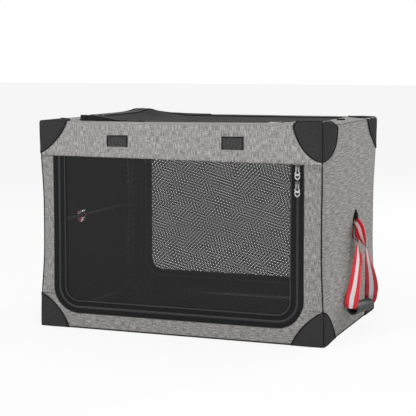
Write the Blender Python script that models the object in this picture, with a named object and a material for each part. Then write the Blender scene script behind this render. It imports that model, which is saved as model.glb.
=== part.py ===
"""Folding pet crate: cloth walls with zipped net doors, hung on a tube frame whose legs fold inwards."""

import bpy
import bmesh
from math import atan, ceil, cos, exp, pi, radians, sin
from mathutils import Matrix, Vector
from mathutils.geometry import convex_hull_2d, intersect_line_line_2d

# Cloth box, in metres
WIDTH = 0.650
DEPTH = 0.460
HEIGHT = 0.460
CLOTH = 0.0024
FLOOR_BOARD = 0.003
BOARD_CORNER = 0.006
SEAM_HEIGHT = 0.380
HINGE_GAP = 0.0010
GAP = 0.0003

# Zip path of a side door, and of the top door
DOOR_SHIFT = -0.0045
SIDE_COIL_TO_EDGE = 0.0515
SIDE_COIL_LOW = 0.0475
TOP_COIL_TO_SIDE = 0.0370
TOP_COIL_TO_LEFT = 0.1035
TOP_HINGE_TO_RIGHT = 0.0630
COIL_CORNER = 0.044

# Zip tape, coil and net
TAPE_DEEP = 0.0004
TAPE_THICK = 0.0014
TAPE_OUTER = 0.0127
TAPE_SPLIT = 0.0055
TAPE_INNER = 0.0130
COIL_HALF = 0.0032
COIL_THICK = 0.0030
COIL_EASE = 0.0006
TOP_ZIP_STEP = 0.020
NET_THICK = 0.0009
NET_UNDER_TAPE = 0.0060
NET_STRAND = 0.0034
SIDE_NET_GAPS = (12, 7)
TOP_NET_GAPS = (8, 16)

# Bulge of the slack top cloth
EDGE_RISE = 0.0108
EDGE_LEVEL_TO = 0.120
EDGE_LEVEL_OVER = 0.130
HUMP_RISE = 0.0048
HUMP_Y = 0.105
HUMP_SPREAD = 0.060
RISE_LONG = 0.105
RISE_FADE = 0.24

# Tube frame and legs
FRAME_TUBE = 0.0080
FRAME_CLEAR = 0.0015
FRAME_CORNER = 0.030
LEG_TUBE = 0.0070
LEG_CLEAR = 0.0080
LUG_RISE = 0.0185
LUG_INSET = 0.002
PIN_INSET = 0.0056
LEG_OFFSET = 0.0110
KNEE_OVER = 0.0055
LEG_SETBACK = 0.0080
EAR_ROUND = 0.0065
KNEE_ROUND = 0.0075
EAR_HALF = 0.0017
FORK_IN = 0.0021
FORK_OUT = 0.0051
EAR_REACH = 0.0220
WELD_ROUND = 0.0050
PIN_ROUND = 0.0030
BAR_ROUND = 0.0040
PIN_PLAY = 0.0003
EAR_PLAY = 0.0002
HEAD_ROUND = 0.0052
HEAD_THICK = 0.0015
FOLD_ANGLE = radians(84)

# Corner covers
PATCH = 0.0012
COVER_FRONT = 0.067
COVER_END = 0.098
COVER_TALL = 0.073
FRONT_BOW = 1.7
END_BOW = 2.4

# Stitched tabs on the header
TAB_WIDE = 0.049
TAB_TALL = 0.0255
TAB_OVER_SEAM = 0.0250
TAB_X = {"first_tab": -0.138, "second_tab": 0.129}
TAB_BASE = 0.0010
TAB_RIM = 0.0018
TAB_RIM_WIDE = 0.0035

# Slit, ribbon loop and pull handle
SLIT_Y = 0.042
SLIT_UNDER_KNEE = 0.0255
SLIT_OVER_KNEE = 0.0285
SLIT_HALF = 0.0060
RIBBON_HALF = 0.0125
RIBBON_THICK = 0.0012
RIBBON_APART = 0.0070
TIE_HALF = 0.010
HANDLE_ROUND = 0.0135
HANDLE_BORE = 0.0100
HANDLE_LONG = 0.096
HANDLE_LIP = 0.0006
HANDLE_CAP = 0.010
HANDLE_OUT = 0.0280
HANDLE_Y = -0.0060
HANDLE_HEIGHT = 0.0500
HANDLE_TURN = radians(13)

# Zip sliders and their pulls
SLIDER_LONG = 0.0120
SLIDER_HALF = 0.0048
SLIDER_PLATE = 0.0011
SLIDER_CLEAR = 0.0006
BAIL_HALF_LONG = 0.0042
BAIL_POST = 0.0012
BAIL_HALF_WIDE = 0.0014
BAIL_SPACE = 0.0017
BAIL_BRIDGE = 0.0010
PULL_LONG = 0.0260
PULL_THICK = 0.0010
PULL_NECK = 0.0034
PULL_HALF = 0.0060
UPPER_SLIDER_DROP = 0.0080
LOWER_SLIDER_DROP = 0.0430

# Floor mat
MAT_TO_TUBE = 0.0070
MAT_TO_LEG = 0.0045
MAT_CORNER = 0.040
MAT_EDGE = 0.0065
MAT_CROWN = 0.0190
MAT_DRAWN = 0.004

# Places that follow from the sizes above
SIDE_COIL_X = WIDTH / 2 - SIDE_COIL_TO_EDGE
TOP_COIL_Y = DEPTH / 2 - TOP_COIL_TO_SIDE
TOP_COIL_LEFT = TOP_COIL_TO_LEFT - WIDTH / 2
TOP_HINGE_X = WIDTH / 2 - TOP_HINGE_TO_RIGHT
RISE_END = TOP_COIL_LEFT + RISE_LONG
COVER_OUT = GAP + PATCH
TOP_FACE = HEIGHT - COVER_OUT
TOP_UNDER = TOP_FACE - CLOTH
LOW_TUBE_Z = FLOOR_BOARD + GAP + FRAME_TUBE
HIGH_TUBE_Z = TOP_UNDER - GAP - FRAME_TUBE
LOW_PIN_Z = LOW_TUBE_Z + LUG_RISE
HIGH_PIN_Z = HIGH_TUBE_Z - LUG_RISE
LEG_SPAN = (HIGH_PIN_Z - LOW_PIN_Z) / 2
KNEE_Z = LOW_PIN_Z + LEG_SPAN
TUBE_X = WIDTH / 2 - CLOTH - FRAME_CLEAR - FRAME_TUBE
TUBE_Y = DEPTH / 2 - CLOTH - FRAME_CLEAR - FRAME_TUBE
LEG_Y = TUBE_Y - FRAME_TUBE - LEG_CLEAR - LEG_TUBE
PIN_X = TUBE_X - PIN_INSET
KNEE_X = PIN_X + KNEE_OVER
PANEL_HALF = WIDTH / 2 - CLOTH - GAP
MAT_X = TUBE_X - FRAME_TUBE - MAT_TO_TUBE
MAT_Y = LEG_Y - FORK_OUT - HEAD_THICK - MAT_TO_LEG
SLIT_LOW = KNEE_Z - SLIT_UNDER_KNEE
SLIT_TOP = KNEE_Z + SLIT_OVER_KNEE
TAB_LOW = SEAM_HEIGHT + TAB_OVER_SEAM
HANDLE_CENTRE = (WIDTH / 2 + HANDLE_OUT, HANDLE_Y, HANDLE_HEIGHT)
WALL_LOW = FLOOR_BOARD + GAP
WALL_TOP = TOP_UNDER - GAP

HALF_TURN = Matrix.Rotation(pi, 4, "Z")
LYING = Matrix(((1, 0, 0, 0), (0, 0, 1, 0), (0, -1, 0, 0), (0, 0, 0, 1)))
FACING_END = Matrix(((0, -1, 0, 0), (1, 0, 0, 0), (0, 0, 1, 0), (0, 0, 0, 1)))
FRONT = Matrix.Translation((0, -DEPTH / 2, 0))
BACK = HALF_TURN @ FRONT
TOP = Matrix(((0, 0, 1, 0), (-1, 0, 0, 0), (0, -1, 0, TOP_FACE), (0, 0, 0, 1)))


def clear_scene():
    for old in list(bpy.data.objects):
        bpy.data.objects.remove(old)


def look(name, colour, roughness, metallic=0.0):
    material = bpy.data.materials.new(name)
    material.use_nodes = True
    shader = material.node_tree.nodes["Principled BSDF"]
    shader.inputs["Base Color"].default_value = (*colour, 1.0)
    shader.inputs["Roughness"].default_value = roughness
    shader.inputs["Metallic"].default_value = metallic
    material.diffuse_color = (*colour, 1.0)
    return material


def joint(name, place, parent=None):
    """An empty on a joint's axis, which carries the pieces that move about it."""
    empty = bpy.data.objects.new(name, None)
    bpy.context.scene.collection.objects.link(empty)
    if parent:
        empty.parent = parent
        empty.location = Vector(place) - parent.matrix_world.translation
    else:
        empty.location = place
    bpy.context.view_layer.update()
    return empty


def shape(name, form, smooth=None):
    """Turn a form into a mesh, with its faces pointing out."""
    bmesh.ops.recalc_face_normals(form, faces=form.faces)
    mesh = bpy.data.meshes.new(name)
    form.to_mesh(mesh)
    form.free()
    if smooth:
        mesh.shade_smooth()
        mesh.set_sharp_from_angle(angle=smooth)
    return mesh


def piece(name, mesh, material, carrier, place=Matrix()):
    """Put a mesh in the scene as a named sub-part, carried by a joint's empty."""
    made = bpy.data.objects.new(name, mesh)
    bpy.context.scene.collection.objects.link(made)
    made.parent = carrier
    made.matrix_parent_inverse = carrier.matrix_world.inverted()
    made.matrix_basis = place
    if not mesh.materials:
        mesh.materials.append(None)
    made.material_slots[0].link = "OBJECT"
    made.material_slots[0].material = material
    return made


def combine(form, tool, operation):
    """Join, cut or cross two closed forms and return the result."""
    bodies = []
    for source in (form, tool):
        body = bpy.data.objects.new("body", shape("body", source))
        bpy.context.scene.collection.objects.link(body)
        bodies.append(body)
    kept, used = bodies
    modifier = kept.modifiers.new("combine", "BOOLEAN")
    modifier.operation = operation
    modifier.object = used
    bpy.context.view_layer.update()
    evaluated = kept.evaluated_get(bpy.context.evaluated_depsgraph_get())
    result = bmesh.new()
    result.from_mesh(evaluated.to_mesh())
    evaluated.to_mesh_clear()
    for body in bodies:
        mesh = body.data
        bpy.data.objects.remove(body)
        bpy.data.meshes.remove(mesh)
    bmesh.ops.remove_doubles(result, verts=result.verts, dist=1e-6)
    return result


def gather(forms):
    """Put forms that don't touch together in one."""
    result = bmesh.new()
    for form in forms:
        copy = {vert: result.verts.new(vert.co) for vert in form.verts}
        for face in form.faces:
            result.faces.new([copy[vert] for vert in face.verts])
        form.free()
    return result


def moved(form, matrix):
    bmesh.ops.transform(form, matrix=matrix, verts=form.verts)
    return form


def prism(outline, low, high, holes=()):
    """A plate with an outline and holes given in X and Z, from y = low to y = high."""
    form = bmesh.new()
    edges = []
    for loop in (outline, *holes):
        ring = [form.verts.new((u, low, v)) for u, v in loop]
        edges += [form.edges.new(pair) for pair in zip(ring, ring[1:] + ring[:1])]
    bmesh.ops.triangle_fill(form, edges=edges, use_beauty=True)
    return thicken(form, Vector((0, high - low, 0)))


def thicken(form, step):
    """Close a sheet into a solid by moving a copy of it along one step."""
    bmesh.ops.recalc_face_normals(form, faces=form.faces)
    made = bmesh.ops.extrude_face_region(form, geom=form.faces[:])
    copies = [item for item in made["geom"] if isinstance(item, bmesh.types.BMVert)]
    bmesh.ops.translate(form, verts=copies, vec=step)
    return form


def box(low, high):
    corners = ((low[0], low[2]), (high[0], low[2]), (high[0], high[2]), (low[0], high[2]))
    return prism(corners, low[1], high[1])


def circle(centre, radius, sides=12):
    turn = 2 * pi / sides
    return [(centre[0] + radius * cos(turn * n), centre[1] + radius * sin(turn * n)) for n in range(sides)]


def strap(ends, low, high):
    """A plate round two or more circles, each (x, z, radius)."""
    points = [point for x, z, radius in ends for point in circle((x, z), radius)]
    return prism([points[n] for n in convex_hull_2d(points)], low, high)


def turned(profile, sides, hollow=False):
    """A turned piece on the Y axis, from (radius, y) points. A hollow one's profile closes on itself."""
    form = bmesh.new()
    rings = []
    for radius, along in profile:
        ring = [form.verts.new((x, along, z)) for x, z in circle((0, 0), radius, sides)]
        rings.append(ring)
    pairs = list(zip(rings, rings[1:]))
    if hollow:
        pairs.append((rings[-1], rings[0]))
    for one, two in pairs:
        bridge(form, one, two)
    if not hollow:
        form.faces.new(rings[0])
        form.faces.new(rings[-1])
    return form


def bridge(form, one, two):
    """Faces between two closed rings of as many points."""
    for n in range(len(one)):
        after = (n + 1) % len(one)
        form.faces.new((one[n], one[after], two[after], two[n]))


def rod(start, end, radius, sides=12):
    """A round bar between two places."""
    run = Vector(end) - Vector(start)
    form = turned([(radius, 0), (radius, run.length)], sides)
    turn = Vector((0, 1, 0)).rotation_difference(run).to_matrix().to_4x4()
    return moved(form, Matrix.Translation(start) @ turn)


def sweep(path, section, closed=False):
    """A strip along a path of (point, outward normal) in X and Z. Its section is (outward, deep) points."""
    form = bmesh.new()
    rings = []
    for (u, v), (nu, nv) in path:
        ring = [form.verts.new((u + out * nu, deep, v + out * nv)) for out, deep in section]
        rings.append(ring)
    for one, two in zip(rings, rings[1:]):
        bridge(form, one, two)
    if closed:
        bridge(form, rings[-1], rings[0])
    else:
        form.faces.new(rings[0])
        form.faces.new(rings[-1])
    return form


def band(inner, outer, low, high):
    """The section of a flat strip."""
    return [(inner, low), (outer, low), (outer, high), (inner, high)]


def arc(centre, radius, start, turn, steps):
    """Points of a path round an arc, with their outward normals."""
    found = []
    for n in range(steps + 1):
        angle = start + turn * n / steps
        normal = (cos(angle), sin(angle))
        found.append(((centre[0] + radius * normal[0], centre[1] + radius * normal[1]), normal))
    return found


def run(start, end, normal, step):
    """Points of a straight path, both ends left out."""
    length = (Vector(end) - Vector(start)).length
    count = max(1, ceil(length / step))
    found = []
    for n in range(1, count):
        point = Vector(start).lerp(Vector(end), n / count)
        found.append(((point.x, point.y), normal))
    return found


def zip_path(left, right, low, high, step=1.0):
    """The zip's way round a door: down its left side, along the bottom and up its right side."""
    corner = COIL_CORNER
    turn_left = (left + corner, low + corner)
    turn_right = (right - corner, low + corner)
    path = [((left, high), (-1, 0))]
    path += run((left, high), (left, turn_left[1]), (-1, 0), step)
    path += arc(turn_left, corner, pi, pi / 2, 6)
    path += run((turn_left[0], low), (turn_right[0], low), (0, -1), step)
    path += arc(turn_right, corner, -pi / 2, pi / 2, 6)
    path += run((right, turn_right[1]), (right, high), (1, 0), step)
    path.append(((right, high), (1, 0)))
    return path


def offset(path, out):
    return [(u + out * nu, v + out * nv) for (u, v), (nu, nv) in path]


def rounded_box(half_x, half_y, corner, steps=5):
    """A closed path round a rectangle with round corners."""
    path = []
    for n, (sx, sy) in enumerate(((1, 1), (-1, 1), (-1, -1), (1, -1))):
        centre = (sx * (half_x - corner), sy * (half_y - corner))
        path += arc(centre, corner, n * pi / 2, pi / 2, steps)
    return path


def ease(value, start, end):
    """0 before start, 1 after end, and a smooth step between."""
    part = min(1.0, max(0.0, (value - start) / (end - start)))
    return part * part * (3 - 2 * part)


def top_rise(x, y):
    """How far the slack cloth of the top door stands above its frame: level in front, with a hump behind."""
    left = 1 - ease(x, TOP_COIL_LEFT, RISE_END)
    level = 1 - ease(y, EDGE_LEVEL_TO, EDGE_LEVEL_TO + EDGE_LEVEL_OVER)
    hump = exp(-(((y - HUMP_Y) / HUMP_SPREAD) ** 2))
    return left * (EDGE_RISE * level + HUMP_RISE * hump)


def raise_top(form):
    for vert in form.verts:
        vert.co.z += top_rise(vert.co.x, vert.co.y)
    return form


def side_path():
    return zip_path(DOOR_SHIFT - SIDE_COIL_X, DOOR_SHIFT + SIDE_COIL_X, SIDE_COIL_LOW, SEAM_HEIGHT)


def top_path():
    """The top door's zip, in its own frame: the left end is the bottom and the hinge is the top."""
    return zip_path(-TOP_COIL_Y, TOP_COIL_Y, TOP_COIL_LEFT, TOP_HINGE_X, TOP_ZIP_STEP)


def trimmed(path, cut):
    """The path with its two ends drawn back."""
    (left_u, top), left_normal = path[0]
    (right_u, _), right_normal = path[-1]
    start = ((left_u, top - cut), left_normal)
    end = ((right_u, top - cut), right_normal)
    return [start, *path[1:-1], end]


def floor_board():
    path = rounded_box(WIDTH / 2, DEPTH / 2, BOARD_CORNER, 3)
    return moved(prism(offset(path, 0), -FLOOR_BOARD, 0), LYING)


def floor_mat():
    """A flat cushion with a crown, round edges and sides that draw in between the corners."""
    levels = ((0.006, 0.0), (0.001, 0.003), (0.0, MAT_EDGE), (0.002, 0.0105))
    levels += ((0.009, 0.0140), (0.035, 0.0165), (0.090, MAT_CROWN - 0.0005))
    form = bmesh.new()
    rings = []
    for inset, height in levels:
        ring = []
        for (x, y), _ in mat_outline(inset):
            ring.append(form.verts.new((x, y, WALL_LOW + height)))
        rings.append(ring)
    for one, two in zip(rings, rings[1:]):
        bridge(form, one, two)
    form.faces.new(rings[0])
    crown = form.verts.new((0, 0, WALL_LOW + MAT_CROWN))
    last = rings[-1]
    for n, vert in enumerate(last):
        form.faces.new((vert, last[(n + 1) % len(last)], crown))
    return form


def mat_outline(inset):
    half_x = MAT_X - inset
    half_y = MAT_Y - inset
    corner = MAT_CORNER
    path = []
    for n, (sx, sy) in enumerate(((1, 1), (-1, 1), (-1, -1), (1, -1))):
        centre = (sx * (half_x - corner), sy * (half_y - corner))
        path += arc(centre, corner, n * pi / 2, pi / 2, 4)
        here = path[-1]
        turn = (n + 1) * pi / 2
        normal = (cos(turn), sin(turn))
        span = half_x - corner if n % 2 == 0 else half_y - corner
        along = (-normal[1], normal[0])
        for step in range(1, 6):
            part = step / 6
            pull = MAT_DRAWN * sin(pi * part)
            u = here[0][0] + along[0] * 2 * span * part - normal[0] * pull
            v = here[0][1] + along[1] * 2 * span * part - normal[1] * pull
            path.append(((u, v), normal))
    return path


def frame_loop(up):
    """A tube rectangle with four forked lugs and a headed pin through each. The top one's point down."""
    tube_z = LOW_TUBE_Z if up > 0 else HIGH_TUBE_Z
    pin_z = LOW_PIN_Z if up > 0 else HIGH_PIN_Z
    path = rounded_box(TUBE_X, TUBE_Y, FRAME_CORNER)
    loop = moved(sweep(path, circle((0, 0), FRAME_TUBE, 12), closed=True), LYING)
    loop = moved(loop, Matrix.Translation((0, 0, tube_z)))
    plates = []
    pins = []
    for sx in (1, -1):
        ends = ((sx * PIN_X, pin_z, EAR_ROUND), (sx * TUBE_X, tube_z, FRAME_TUBE - LUG_INSET))
        for sy in (1, -1):
            for low, high in ((FORK_IN, FORK_OUT), (-FORK_OUT, -FORK_IN)):
                plates.append(strap(ends, sy * LEG_Y + low, sy * LEG_Y + high))
            place = Matrix.Translation((sx * PIN_X, sy * LEG_Y, pin_z))
            pins.append(moved(headed_pin(FORK_OUT, PIN_ROUND), place))
    loop = combine(loop, gather(plates), "UNION")
    return combine(loop, gather(pins), "UNION")


def leg(lower):
    """A leg in its own frame, its lower pin at the origin and outboard along +X."""
    knee = (KNEE_OVER, LEG_SPAN) if lower else (KNEE_OVER, 0)
    pin = (0, 0) if lower else (0, LEG_SPAN)
    inward = 1 if lower else -1
    ends = sorted((pin[1] + inward * LEG_SETBACK, knee[1] - inward * GAP / 2))
    tube = rod((-LEG_OFFSET, 0, ends[0]), (-LEG_OFFSET, 0, ends[1]), LEG_TUBE)
    ear_circles = ((*pin, EAR_ROUND), (-LEG_OFFSET, pin[1] + inward * EAR_REACH, WELD_ROUND))
    knee_circles = ((*knee, KNEE_ROUND), (-LEG_OFFSET, knee[1] - inward * EAR_REACH, WELD_ROUND))
    plates = [strap(ear_circles, -EAR_HALF, EAR_HALF)]
    if lower:
        plates.append(strap(knee_circles, FORK_IN, FORK_OUT))
        plates.append(strap(knee_circles, -FORK_OUT, -FORK_IN))
    else:
        plates.append(strap(knee_circles, -EAR_HALF, EAR_HALF))
    tube = combine(tube, gather(plates), "UNION")
    wide = 2 * FORK_OUT
    knee_hole = BAR_ROUND + PIN_PLAY + (0 if lower else EAR_PLAY)
    holes = [
        rod((pin[0], -wide, pin[1]), (pin[0], wide, pin[1]), PIN_ROUND + PIN_PLAY + EAR_PLAY, 12),
        rod((knee[0], -wide, knee[1]), (knee[0], wide, knee[1]), knee_hole, 12),
    ]
    return combine(tube, gather(holes), "DIFFERENCE")


def headed_pin(half_long, radius):
    """A pin along Y with a flat head at each end."""
    out = half_long + HEAD_THICK
    profile = [(HEAD_ROUND, -out), (HEAD_ROUND, -half_long), (radius, -half_long)]
    profile += [(radius, half_long), (HEAD_ROUND, half_long), (HEAD_ROUND, out)]
    return turned(profile, 12)


def ribbon_tie():
    """A ribbon loop round the knee bar, with two tails that lead out through the slit."""
    inner = BAR_ROUND + GAP
    outer = inner + RIBBON_THICK
    profile = [(inner, -TIE_HALF), (outer, -TIE_HALF), (outer, TIE_HALF), (inner, TIE_HALF)]
    ring = turned(profile, 12, hollow=True)
    ring = moved(ring, Matrix.Translation((KNEE_X, SLIT_Y, KNEE_Z)))
    tails = []
    for side in (-1, 1):
        middle = SLIT_Y + side * RIBBON_APART / 2
        low = (KNEE_X + inner + GAP, middle - RIBBON_THICK / 2, KNEE_Z - RIBBON_HALF / 4)
        high = (WIDTH / 2 + COVER_OUT + GAP, middle + RIBBON_THICK / 2, KNEE_Z + RIBBON_HALF / 4)
        tails.append(box(low, high))
    return combine(ring, gather(tails), "UNION")


def slit():
    """The pull ribbon's slit: a slot with a round foot that narrows to a point at the top."""
    foot = SLIT_LOW + SLIT_HALF
    shoulder = (SLIT_LOW + SLIT_TOP) / 2
    outline = [(SLIT_Y + SLIT_HALF, shoulder), (SLIT_Y, SLIT_TOP), (SLIT_Y - SLIT_HALF, shoulder)]
    outline += [point for point, _ in arc((SLIT_Y, foot), SLIT_HALF, pi, pi, 6)]
    return outline


def end_panel():
    half = DEPTH / 2
    outline = [(-half, WALL_LOW), (half, WALL_LOW), (half, WALL_TOP), (-half, WALL_TOP)]
    wall = moved(prism(outline, 0, CLOTH, [slit()]), FACING_END)
    return moved(wall, Matrix.Translation((WIDTH / 2, 0, 0)))


def surround():
    """The cloth beside and below a side door."""
    inner = offset(side_path(), TAPE_OUTER + GAP)
    top = SEAM_HEIGHT - HINGE_GAP
    inner = [(inner[0][0], top), *inner[1:-1], (inner[-1][0], top)]
    outline = [(PANEL_HALF, top), (PANEL_HALF, WALL_LOW), (-PANEL_HALF, WALL_LOW), (-PANEL_HALF, top)]
    return prism(inner + outline, 0, CLOTH)


def zip_tape(path):
    """The half of the zip that stays on the cloth beside the door."""
    tape = band(TAPE_SPLIT, TAPE_OUTER, TAPE_DEEP, TAPE_DEEP + TAPE_THICK)
    return sweep(trimmed(path, HINGE_GAP), tape)


def door_trim(path):
    """The half of the zip that moves with the door, with the coil along its outer edge."""
    low = TAPE_DEEP
    high = TAPE_DEEP + TAPE_THICK
    middle = (low + high) / 2
    coil_low = middle - COIL_THICK / 2
    coil_high = middle + COIL_THICK / 2
    flat = COIL_HALF - COIL_EASE
    section = [(-TAPE_INNER, low), (-COIL_HALF, low), (-flat, coil_low), (flat, coil_low)]
    section += [(COIL_HALF, low), (COIL_HALF, high), (flat, coil_high), (-flat, coil_high)]
    section += [(-COIL_HALF, high), (-TAPE_INNER, high)]
    return sweep(trimmed(path, 3 * HINGE_GAP), section)


def net(path, gaps):
    """A flat net with square gaps, cut to the door's outline behind the zip tape."""
    outline = offset(trimmed(path, HINGE_GAP), NET_UNDER_TAPE - TAPE_INNER)
    across = [u for u, _ in outline]
    along = [v for _, v in outline]
    grid_u = grid_lines(min(across), max(across), gaps[0])
    grid_v = grid_lines(min(along), max(along), gaps[1])
    form = bmesh.new()
    deep = TAPE_DEEP + TAPE_THICK + GAP
    rows = [[form.verts.new((u, deep, v)) for u in grid_u] for v in grid_v]
    for j in range(len(grid_v) - 1):
        for i in range(len(grid_u) - 1):
            if i % 2 == 0 or j % 2 == 0:
                form.faces.new((rows[j][i], rows[j][i + 1], rows[j + 1][i + 1], rows[j + 1][i]))
    form = thicken(form, Vector((0, NET_THICK, 0)))
    cutter = prism(outline, deep - 0.001, deep + NET_THICK + 0.001)
    return combine(form, cutter, "INTERSECT")


def grid_lines(low, high, count):
    """The two edges of each strand, which stand half outside at both ends."""
    pitch = (high - low) / count
    lines = []
    for n in range(count + 1):
        lines += [low + n * pitch - NET_STRAND, low + n * pitch + NET_STRAND]
    return lines


def header():
    """The band of cloth above a side door's seam."""
    low = (-PANEL_HALF, 0, SEAM_HEIGHT + HINGE_GAP)
    high = (PANEL_HALF, CLOTH, WALL_TOP)
    return box(low, high)


def tab(centre):
    """A stitched webbing tab with a raised edge on three sides."""
    half = TAB_WIDE / 2
    top = TAB_LOW + TAB_TALL
    face = -GAP - TAB_BASE
    base = box((centre - half, face, TAB_LOW), (centre + half, -GAP, top))
    inner = half - TAB_RIM_WIDE
    rim = [(-half, TAB_LOW), (-inner, TAB_LOW), (-inner, top - TAB_RIM_WIDE), (inner, top - TAB_RIM_WIDE)]
    rim += [(inner, TAB_LOW), (half, TAB_LOW), (half, top), (-half, top)]
    raised = prism([(centre + u, v) for u, v in rim], -GAP - TAB_RIM, face + TAB_BASE / 2)
    return combine(base, raised, "UNION")


def ray_meet(outline, centre, angle):
    """Where a ray from the centre leaves an outline."""
    far = (centre[0] + cos(angle), centre[1] + sin(angle))
    for start, end in zip(outline, outline[1:] + outline[:1]):
        met = intersect_line_line_2d(centre, far, start, end)
        if met:
            return met
    return far


def top_panel():
    """The top cloth: a ring round the top door, which rises with the slack of the door's left end."""
    doorway = offset(top_path(), TAPE_OUTER + GAP)
    doorway = [(v, -u) for u, v in doorway]
    hinge_x = TOP_HINGE_X + HINGE_GAP
    doorway = [(hinge_x, doorway[0][1]), *doorway[1:-1], (hinge_x, doorway[-1][1])]
    side = doorway[-1][1]
    doorway += [(hinge_x, side - side * 2 * n / 8) for n in range(1, 8)]
    rim_x = WIDTH / 2
    rim_y = DEPTH / 2
    rim = [(rim_x, rim_y), (-rim_x, rim_y), (-rim_x, -rim_y), (rim_x, -rim_y)]
    centre = ((TOP_HINGE_X + TOP_COIL_LEFT) / 2, 0)
    angles = set()
    for x, y in doorway + rim:
        away = Vector((x - centre[0], y - centre[1]))
        angles.add(round(away.angle_signed(Vector((1, 0))), 9))
    form = bmesh.new()
    rings = []
    for part in (0, RISE_FADE / 2, RISE_FADE, 1):
        ring = []
        for angle in sorted(angles):
            near = ray_meet(doorway, centre, angle)
            far = ray_meet(rim, centre, angle)
            x = near[0] + (far[0] - near[0]) * part
            y = near[1] + (far[1] - near[1]) * part
            rise = top_rise(*near) * (1 - ease(part, 0, RISE_FADE))
            ring.append(form.verts.new((x, y, TOP_FACE + rise)))
        rings.append(ring)
    for one, two in zip(rings, rings[1:]):
        bridge(form, one, two)
    return thicken(form, Vector((0, 0, -CLOTH)))


def bow(reach, rise, power, steps=9):
    """The curved edge of a corner cover, from its reach to its rise."""
    found = []
    for n in range(steps + 1):
        angle = pi / 2 * n / steps
        found.append((reach * cos(angle) ** (2 / power), rise * sin(angle) ** (2 / power)))
    return found


def corner_cover(sx, sy, upper):
    """A cover over one corner: a patch on the side, one on the end and, on an upper corner, one on top."""
    out = COVER_OUT
    front_edge = [(-u, v) for u, v in bow(COVER_FRONT, COVER_TALL, FRONT_BOW)]
    end_edge = [(-u, v) for u, v in bow(COVER_END, COVER_TALL, END_BOW)]
    foot = -out if upper else 0
    front = prism([(out, foot), (-COVER_FRONT, foot), *front_edge, (out, COVER_TALL)], -out, -GAP)
    end = prism([(out, foot), (-COVER_END, foot), *end_edge, (out, COVER_TALL)], -out, -GAP)
    end = moved(end, Matrix(((0, -1, 0, 0), (-1, 0, 0, 0), (0, 0, 1, 0), (0, 0, 0, 1))))
    cover = combine(front, end, "UNION")
    if upper:
        lid_edge = [(-u, -v) for u, v in bow(COVER_FRONT, COVER_END, END_BOW)]
        lid = prism([(out, out), (-COVER_FRONT, out), *lid_edge, (out, -COVER_END)], -out, -GAP)
        lid = moved(lid, Matrix(((1, 0, 0, 0), (0, 0, -1, 0), (0, 1, 0, 0), (0, 0, 0, 1))))
        cover = combine(cover, lid, "UNION")
    up = -1 if upper else 1
    base = TOP_FACE if upper else 0
    place = Matrix.Translation((sx * WIDTH / 2, sy * DEPTH / 2, base)) @ Matrix.Diagonal((sx, -sy, up, 1))
    return moved(cover, place)


def coil_middle():
    return TAPE_DEEP + TAPE_THICK / 2


def slider():
    """A zip slider in its own frame: the zip runs along Z, the cloth beside the door is on +X."""
    near = coil_middle() - COIL_THICK / 2 - SLIDER_CLEAR
    far = coil_middle() + COIL_THICK / 2 + SLIDER_CLEAR
    web = COIL_HALF + GAP
    wide = SLIDER_HALF
    section = [(-wide, near - SLIDER_PLATE), (wide, near - SLIDER_PLATE), (wide, far + SLIDER_PLATE)]
    section += [(-wide, far + SLIDER_PLATE), (-wide, far), (web, far), (web, near), (-wide, near)]
    path = [((0, -SLIDER_LONG / 2), (1, 0)), ((0, SLIDER_LONG / 2), (1, 0))]
    body = sweep(path, section)
    face = near - SLIDER_PLATE
    bridge_low = face - BAIL_SPACE - BAIL_BRIDGE
    sunk = face + SLIDER_PLATE / 3
    bail = box((-BAIL_HALF_WIDE, bridge_low, -BAIL_HALF_LONG), (BAIL_HALF_WIDE, sunk, BAIL_HALF_LONG))
    inside = BAIL_HALF_LONG - BAIL_POST
    space = box((-2 * BAIL_HALF_WIDE, face - BAIL_SPACE, -inside), (2 * BAIL_HALF_WIDE, face, inside))
    return combine(combine(body, bail, "UNION"), space, "DIFFERENCE")


def pull_axis():
    """How far in front of the coil's middle the pull hangs."""
    return COIL_THICK / 2 + SLIDER_CLEAR + SLIDER_PLATE + BAIL_SPACE / 2


def zip_pull():
    """A pull tab that hangs from its cross bar at the origin, with a three-sided hole near its end."""
    bar = PULL_THICK / 2
    window = BAIL_HALF_WIDE + 2 * GAP
    foot = BAIL_HALF_LONG + 4 * GAP + BAIL_SPACE
    tip = PULL_LONG - PULL_HALF
    outline = [(PULL_NECK, bar), (PULL_NECK, -foot - 0.001), (PULL_HALF, -foot - 0.005)]
    outline += [point for point, _ in arc((0, -tip), PULL_HALF, 0, -pi, 10)]
    outline += [(-PULL_HALF, -foot - 0.005), (-PULL_NECK, -foot - 0.001), (-PULL_NECK, bar)]
    window_hole = [(window, -bar), (window, -foot), (-window, -foot), (-window, -bar)]
    spread = PULL_HALF * 0.55
    keyhole = [(spread, -tip + spread * 0.5), (-spread, -tip + spread * 0.5), (0, -tip - spread)]
    return prism(outline, -PULL_THICK / 2, PULL_THICK / 2, [window_hole, keyhole])


def handle():
    """The pull handle: a thick grip on a tube, with a darker cap at each end."""
    half = HANDLE_LONG / 2
    lip = HANDLE_ROUND + HANDLE_LIP
    cap = half - HANDLE_CAP
    profile = [(HANDLE_BORE, -half), (lip - 0.001, -half), (lip, -half + 0.001), (lip, -cap)]
    profile += [(HANDLE_ROUND, -cap + 0.0005), (HANDLE_ROUND, cap - 0.0005), (lip, cap)]
    profile += [(lip, half - 0.001), (lip - 0.001, half), (HANDLE_BORE, half)]
    form = turned(profile, 20, hollow=True)
    return moved(form, Matrix.Translation(HANDLE_CENTRE) @ Matrix.Rotation(-HANDLE_TURN, 4, "Z"))


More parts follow.
